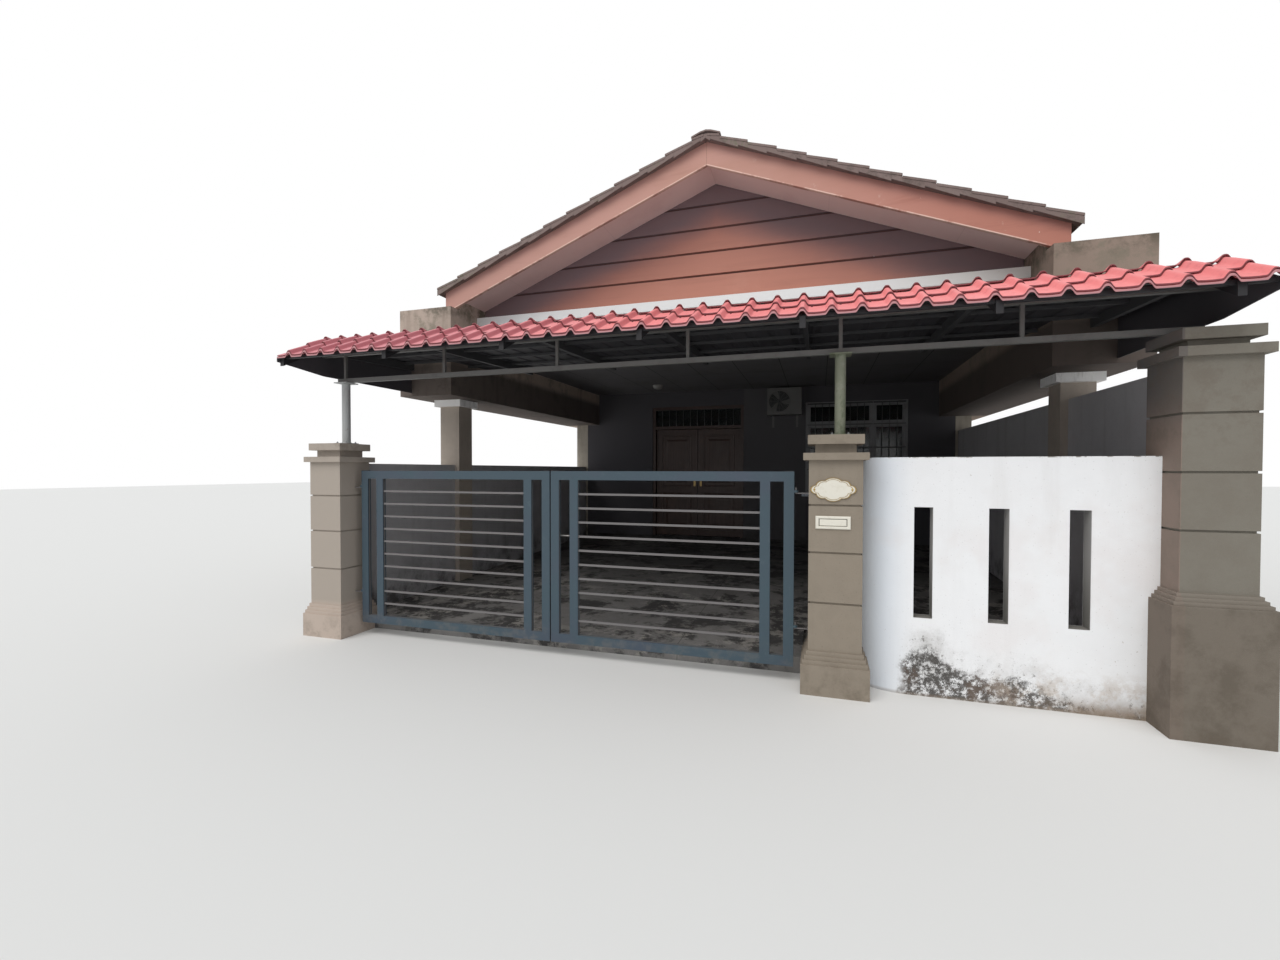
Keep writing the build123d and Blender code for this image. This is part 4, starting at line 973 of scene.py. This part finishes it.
feet = Shape()
bolts = Shape()
for post_x in POST_XS:
    feet.turned(post_x, GATE_Y, PILLAR_TOP, (
        (POST_RADIUS + 0.008, 0.008), (POST_RADIUS + 0.006, 0.012), (POST_RADIUS + 0.001, 0.018)), 24)
    for dx in (-0.055, 0.055):
        for dy in (-0.055, 0.055):
            bolts.turned(post_x + dx, GATE_Y + dy, PILLAR_TOP, (
                (0.009, 0.008), (0.009, 0.015), (0.005, 0.016), (0.005, 0.022)), 6)
piece("post_collars", feet, "post_steel", smooth=True)
piece("post_foot_bolts", bolts, "galvanised")

# Gate fittings

gate_middle = (GATE_LEFT + GATE_RIGHT) / 2
for hand, side in SIDES:
    body = f"gate_leaf_{hand}"
    edge = gate_middle + side * GATE_GAP / 2
    outer_edge = GATE_LEFT if side < 0 else GATE_RIGHT
    caps = Shape()
    for x0 in (min(edge, edge + side * STILE), min(outer_edge, outer_edge - side * STILE)):
        caps.box(x0 + 0.002, x0 + STILE - 0.002, GATE_Y - 0.017, GATE_Y + 0.017, GATE_TOP, GATE_TOP + 0.004)
    piece(f"gate_stile_caps_{hand}", caps, "dark_plastic", body=body, bevel=0.0015)
    welds = Shape()
    for number in range(1, GATE_BARS + 1):
        z = GATE_BOTTOM + STILE + number * (GATE_TOP - GATE_BOTTOM - 2 * STILE) / (GATE_BARS + 1)
        for x in (min(edge, outer_edge) + BAR_INSET, max(edge, outer_edge) - BAR_INSET):
            welds.wire_ring(x, GATE_Y, z, 0.0095, 0.0022, 12)
    piece(f"gate_bar_welds_{hand}", welds, "gate_paint", body=body, smooth=True)

# Number plate and letter slot on the number pillar

def plate_reach(turn):
    """How far the plate's outline reaches from its middle in a direction."""
    across, up = cos(turn), sin(turn)
    furthest = 0.0
    for x, z, wide, high in PLATE_LOBES:
        a = (across / wide) ** 2 + (up / high) ** 2
        b = -2 * (x * across / wide ** 2 + z * up / high ** 2)
        c = (x / wide) ** 2 + (z / high) ** 2 - 1
        inside = b * b - 4 * a * c
        if inside > 0:
            furthest = max(furthest, (-b + sqrt(inside)) / (2 * a))
    return furthest


def plate_rings(levels):
    """Rings of the plate's outline, each as (scale, lift off the pillar)."""
    return [[around(PLATE_X, FACE_Y - lift, PLATE_LEVEL, plate_reach(turn) * scale, turn)
             for turn in turns(96)] for scale, lift in levels]


plate = Shape()
plate.loft(plate_rings(((0.97, 0.0), (0.985, 0.004), (0.97, 0.007), (0.9, 0.0075), (0.6, 0.0085),
                        (0.2, 0.009))))
piece("number_plate", plate, "plate_enamel", smooth=True)
rim = Shape()
rim.loft(plate_rings(((1.0, 0.002), (1.0, 0.008), (0.985, 0.0105), (0.955, 0.0105), (0.94, 0.0075))),
         capped=False)
rim.loft(plate_rings(((0.86, 0.0078), (0.85, 0.0096), (0.835, 0.0096), (0.825, 0.0078))), capped=False)
piece("number_plate_rim", rim, "old_brass", smooth=True)
screws = Shape()
for dx in (-0.126, 0.126):
    screws.turned(PLATE_X + dx, FACE_Y, PLATE_LEVEL, (
        (0.0075, -0.006), (0.0075, -0.0095), (0.005, -0.0115), (0.002, -0.012)), 16, "Y")
piece("number_plate_screws", screws, "old_brass", smooth=True)


def letter_rings(steps):
    """Rectangular rings round the letter slot's middle, as (half width, half height, lift)."""
    return [rectangle(PLATE_X - wide, PLATE_X + wide, FACE_Y - lift, LETTER_LEVEL - high, LETTER_LEVEL + high)
            for wide, high, lift in steps]


letter = Shape()
letter.loft(letter_rings((
    (0.117, 0.0455, 0.0), (0.117, 0.0455, 0.009), (0.112, 0.0405, 0.013), (0.099, 0.03, 0.013),
    (0.094, 0.0255, 0.006))), capped=False)
letter.loft(letter_rings(((0.09, 0.0225, 0.0), (0.09, 0.0225, 0.008), (0.086, 0.019, 0.0105))))
piece("letter_slot", letter, "plate_enamel", bevel=0.0008)
shadow_gap = Shape()
shadow_gap.loft(letter_rings(((0.0935, 0.025, 0.0), (0.0935, 0.025, 0.004))))
piece("letter_slot_gap", shadow_gap, "dark_plastic")

# House front

def lights(left, mullion, right):
    """The two clear widths of a window that a mullion splits."""
    return (left + 0.05, mullion - 0.025), (mullion + 0.025, right - 0.05)


def window_sill(name, left, right, y0, y1, level):
    """A sill that passes the window's sides."""
    sill = Shape()
    sill.box(left - 0.06, right + 0.06, y0, y1, level - 0.07, level)
    piece(name, sill, "white_paint", bevel=0.006)


grille = Shape()
sashes = Shape()
grille_y = FRAME_FRONT_Y - 0.012
for x0, x1 in lights(WINDOW_LEFT, WINDOW_MULLION_X, WINDOW_RIGHT):
    grille.bars(x0, x1, max(2, round((x1 - x0) / 0.115)), grille_y, WINDOW_SILL + 0.02, OPENING_HEAD - 0.02)
    grille.rails(x0 - 0.02, x1 + 0.02, grille_y, (
        WINDOW_SILL + 0.03, WINDOW_SILL + 0.4, WINDOW_SILL + 0.78, TRANSOM_LEVEL + 0.02,
        OPENING_HEAD - 0.03), 0.022)
    for z0, z1 in ((WINDOW_SILL + 0.05, TRANSOM_LEVEL), (TRANSOM_LEVEL + 0.05, OPENING_HEAD - 0.05)):
        sashes.frame(x0, x1, FRAME_FRONT_Y + 0.024, FRAME_FRONT_Y + 0.044, z0, z1, 0.032)
piece("front_window_grille", grille, "frame_steel")
piece("front_window_sashes", sashes, "window_frame", bevel=0.003)

window_sill("front_window_sill", WINDOW_LEFT, WINDOW_RIGHT, FRONT_Y - 0.06, FRONT_Y, WINDOW_SILL)

door_in_left = DOOR_LEFT + DOOR_FRAME
door_in_right = DOOR_RIGHT - DOOR_FRAME
transom = Shape()
transom.bars(door_in_left, door_in_right, 12, FRAME_FRONT_Y + 0.012, TRANSOM_LEVEL + 0.055,
             OPENING_HEAD - 0.055)
piece("transom_grille", transom, "frame_steel")

leaf_width = DOOR_MIDDLE - door_in_left - 0.012
for hand, x0 in (("left", door_in_left + 0.008), ("right", DOOR_MIDDLE + 0.004)):
    moulding = Shape()
    x_low, x_high = x0 + PANEL_INSET, x0 + leaf_width - PANEL_INSET
    for z0, z1 in DOOR_PANELS:
        for face, way in ((LEAF_FRONT_Y + 0.008, -1), (LEAF_BACK_Y - 0.008, 1)):
            for steps, capped in ((((0.0, 0.0), (0.004, 0.006), (0.018, 0.004), (0.026, 0.0)), False),
                                  (((0.075, 0.0), (0.11, 0.006)), True)):
                moulding.loft([rectangle(x_low + inset, x_high - inset, face + way * lift,
                                         z0 + inset, z1 - inset) for inset, lift in steps], capped)
    piece(f"front_door_panels_{hand}", moulding, "door_timber", body=f"door_leaf_{hand}")

# Outdoor unit: fan blades, wire guard and side louvres

fan_z = AC_BOTTOM + AC_HEIGHT / 2
guard = Shape()
for step in range(1, 9):
    guard.wire_ring(FAN_X, AC_FRONT_Y + 0.0045, fan_z, FAN_RADIUS * step / 8 - 0.006, 0.0022, 48)
for turn in turns(12):
    guard.rod([around(FAN_X, AC_FRONT_Y + 0.0025, fan_z, reach, turn)
               for reach in (0.02, FAN_RADIUS - 0.004)], 0.0022, 6)
piece("ac_fan_guard", guard, "appliance_white")
fan = Shape()
for start in turns(3):
    fan.strip([[around(FAN_X, AC_FRONT_Y + 0.0125 - 0.004 * share, fan_z, reach,
                       start + 1.5 * share + 0.25 * reach / FAN_RADIUS)
                for reach in (0.03, 0.08, 0.13, FAN_RADIUS - 0.012)]
               for share in (step / 6 for step in range(7))])
fan.turned(FAN_X, AC_FRONT_Y, fan_z, ((0.036, 0.0145), (0.036, 0.008), (0.028, 0.006)), 24, "Y")
piece("ac_fan_blades", fan, "dark_plastic", smooth=True)
louvres = Shape()
for number in range(12):
    z = AC_BOTTOM + 0.07 + number * 0.028
    louvres.box(AC_LEFT + 0.425, AC_LEFT + AC_WIDTH - 0.025, AC_FRONT_Y - 0.0045, AC_FRONT_Y, z, z + 0.014)
for z in (AC_BOTTOM + 0.012, AC_BOTTOM + AC_HEIGHT - 0.016):
    louvres.box(AC_LEFT + 0.01, AC_LEFT + AC_WIDTH - 0.01, AC_FRONT_Y - 0.003, AC_FRONT_Y,
                z - 0.004, z + 0.004)
piece("ac_louvres", louvres, "appliance_white", bevel=0.001)

# House back

back_y = REAR_Y - 0.02
field_y = back_y - 0.03
field_left = REAR_DOOR_LEFT + DOOR_FRAME
board_width = (REAR_DOOR_WIDTH - 2 * DOOR_FRAME) / 6
boards = Shape()
for number in range(6):
    x0 = field_left + number * board_width + 0.002
    boards.box(x0, x0 + board_width - 0.004, field_y, field_y + 0.012, FLOOR_LEVEL + 0.01,
               REAR_HEAD - DOOR_FRAME - 0.004)
for z in (FLOOR_LEVEL + 0.2, FLOOR_LEVEL + 1.05, REAR_HEAD - 0.32):
    boards.box(field_left + 0.004, field_left + 6 * board_width - 0.004, field_y + 0.012,
               field_y + 0.026, z, z + 0.11)
piece("rear_door_boards", boards, "door_timber", bevel=0.002)
handle = Shape()
handle.box(field_left + 0.03, field_left + 0.066, field_y + 0.012, field_y + 0.019, 1.3, 1.5)
handle.rod([(field_left + 0.048, field_y + 0.016, 1.43),
            (field_left + 0.048, field_y + 0.062, 1.43),
            (field_left + 0.15, field_y + 0.064, 1.425)], 0.008, 12)
piece("rear_door_handle", handle, "galvanised", bevel=0.001)
grille = Shape()
rear_right = REAR_WINDOW_LEFT + REAR_WINDOW_WIDTH
for x0, x1 in lights(REAR_WINDOW_LEFT, REAR_WINDOW_LEFT + REAR_WINDOW_WIDTH / 2, rear_right):
    grille.bars(x0, x1, 6, back_y - 0.01, REAR_SILL + 0.05, REAR_HEAD - 0.05)
    grille.rails(x0, x1, back_y - 0.01, (REAR_SILL + 0.3, REAR_SILL + 0.62, REAR_SILL + 0.94), 0.02)
piece("rear_window_grille", grille, "frame_steel")
window_sill("rear_window_sill", REAR_WINDOW_LEFT, rear_right, REAR_Y, REAR_Y + 0.06, REAR_SILL)

# Floor, light and camera

ground = bpy.data.meshes.new("studio_floor")
ground.from_pydata([(-60, -60, 0), (60, -60, 0), (60, 60, 0), (-60, 60, 0)], [], [(0, 1, 2, 3)])
ground_paint = Paint("studio_floor", (0.8, 0.8, 0.79, 1.0), 0.9, 0.1)
place("studio_floor", ground, ground_paint.material)

world = bpy.data.worlds.new("studio")
scene.world = world
world.use_nodes = True
tree = world.node_tree
tree.nodes.clear()
soft = field(tree, "Background", {"Color": (0.94, 0.97, 1.0, 1.0), "Strength": 0.66})
backdrop = field(tree, "Background", {"Color": (1.0, 1.0, 1.0, 1.0), "Strength": 1.0})
rays = add_node(tree, "LightPath", {}).outputs
seen = Field(tree, rays["Is Camera Ray"]) | rays["Is Glossy Ray"] | rays["Is Transmission Ray"]
blend = field(tree, "MixShader", {0: seen, 1: soft, 2: backdrop})
add_node(tree, "OutputWorld", {"Surface": blend})

sun_data = bpy.data.lights.new("soft_sun", "SUN")
sun_data.energy = 1.5
sun_data.angle = radians(50)
sun_data.color = (1.0, 0.97, 0.93)
sun = place("soft_sun", sun_data)
sun.rotation_euler = Vector((-0.35, -1.0, 1.3)).to_track_quat("Z", "Y").to_euler()

CAMERA_PLACE = (1.1135, -12.1228, 1.5878)
CAMERA_YAW = radians(17.7154)
CAMERA_PITCH = radians(-1.0251)
CAMERA_ROLL = radians(0.0679)
FOCAL_PIXELS = 557.96
PHOTO_WIDTH = 1280
camera_data = bpy.data.cameras.new("street_camera")
camera_data.sensor_width = 36.0
camera_data.lens = FOCAL_PIXELS / PHOTO_WIDTH * camera_data.sensor_width
camera_data.clip_end = 300.0
camera = place("street_camera", camera_data)
stand = Matrix.Translation(CAMERA_PLACE)
for angle, axis in ((CAMERA_YAW, "Z"), (pi / 2 + CAMERA_PITCH, "X"), (CAMERA_ROLL, "Z")):
    stand @= Matrix.Rotation(angle, 4, axis)
camera.matrix_world = stand
scene.camera = camera
scene.view_settings.view_transform = "Standard"
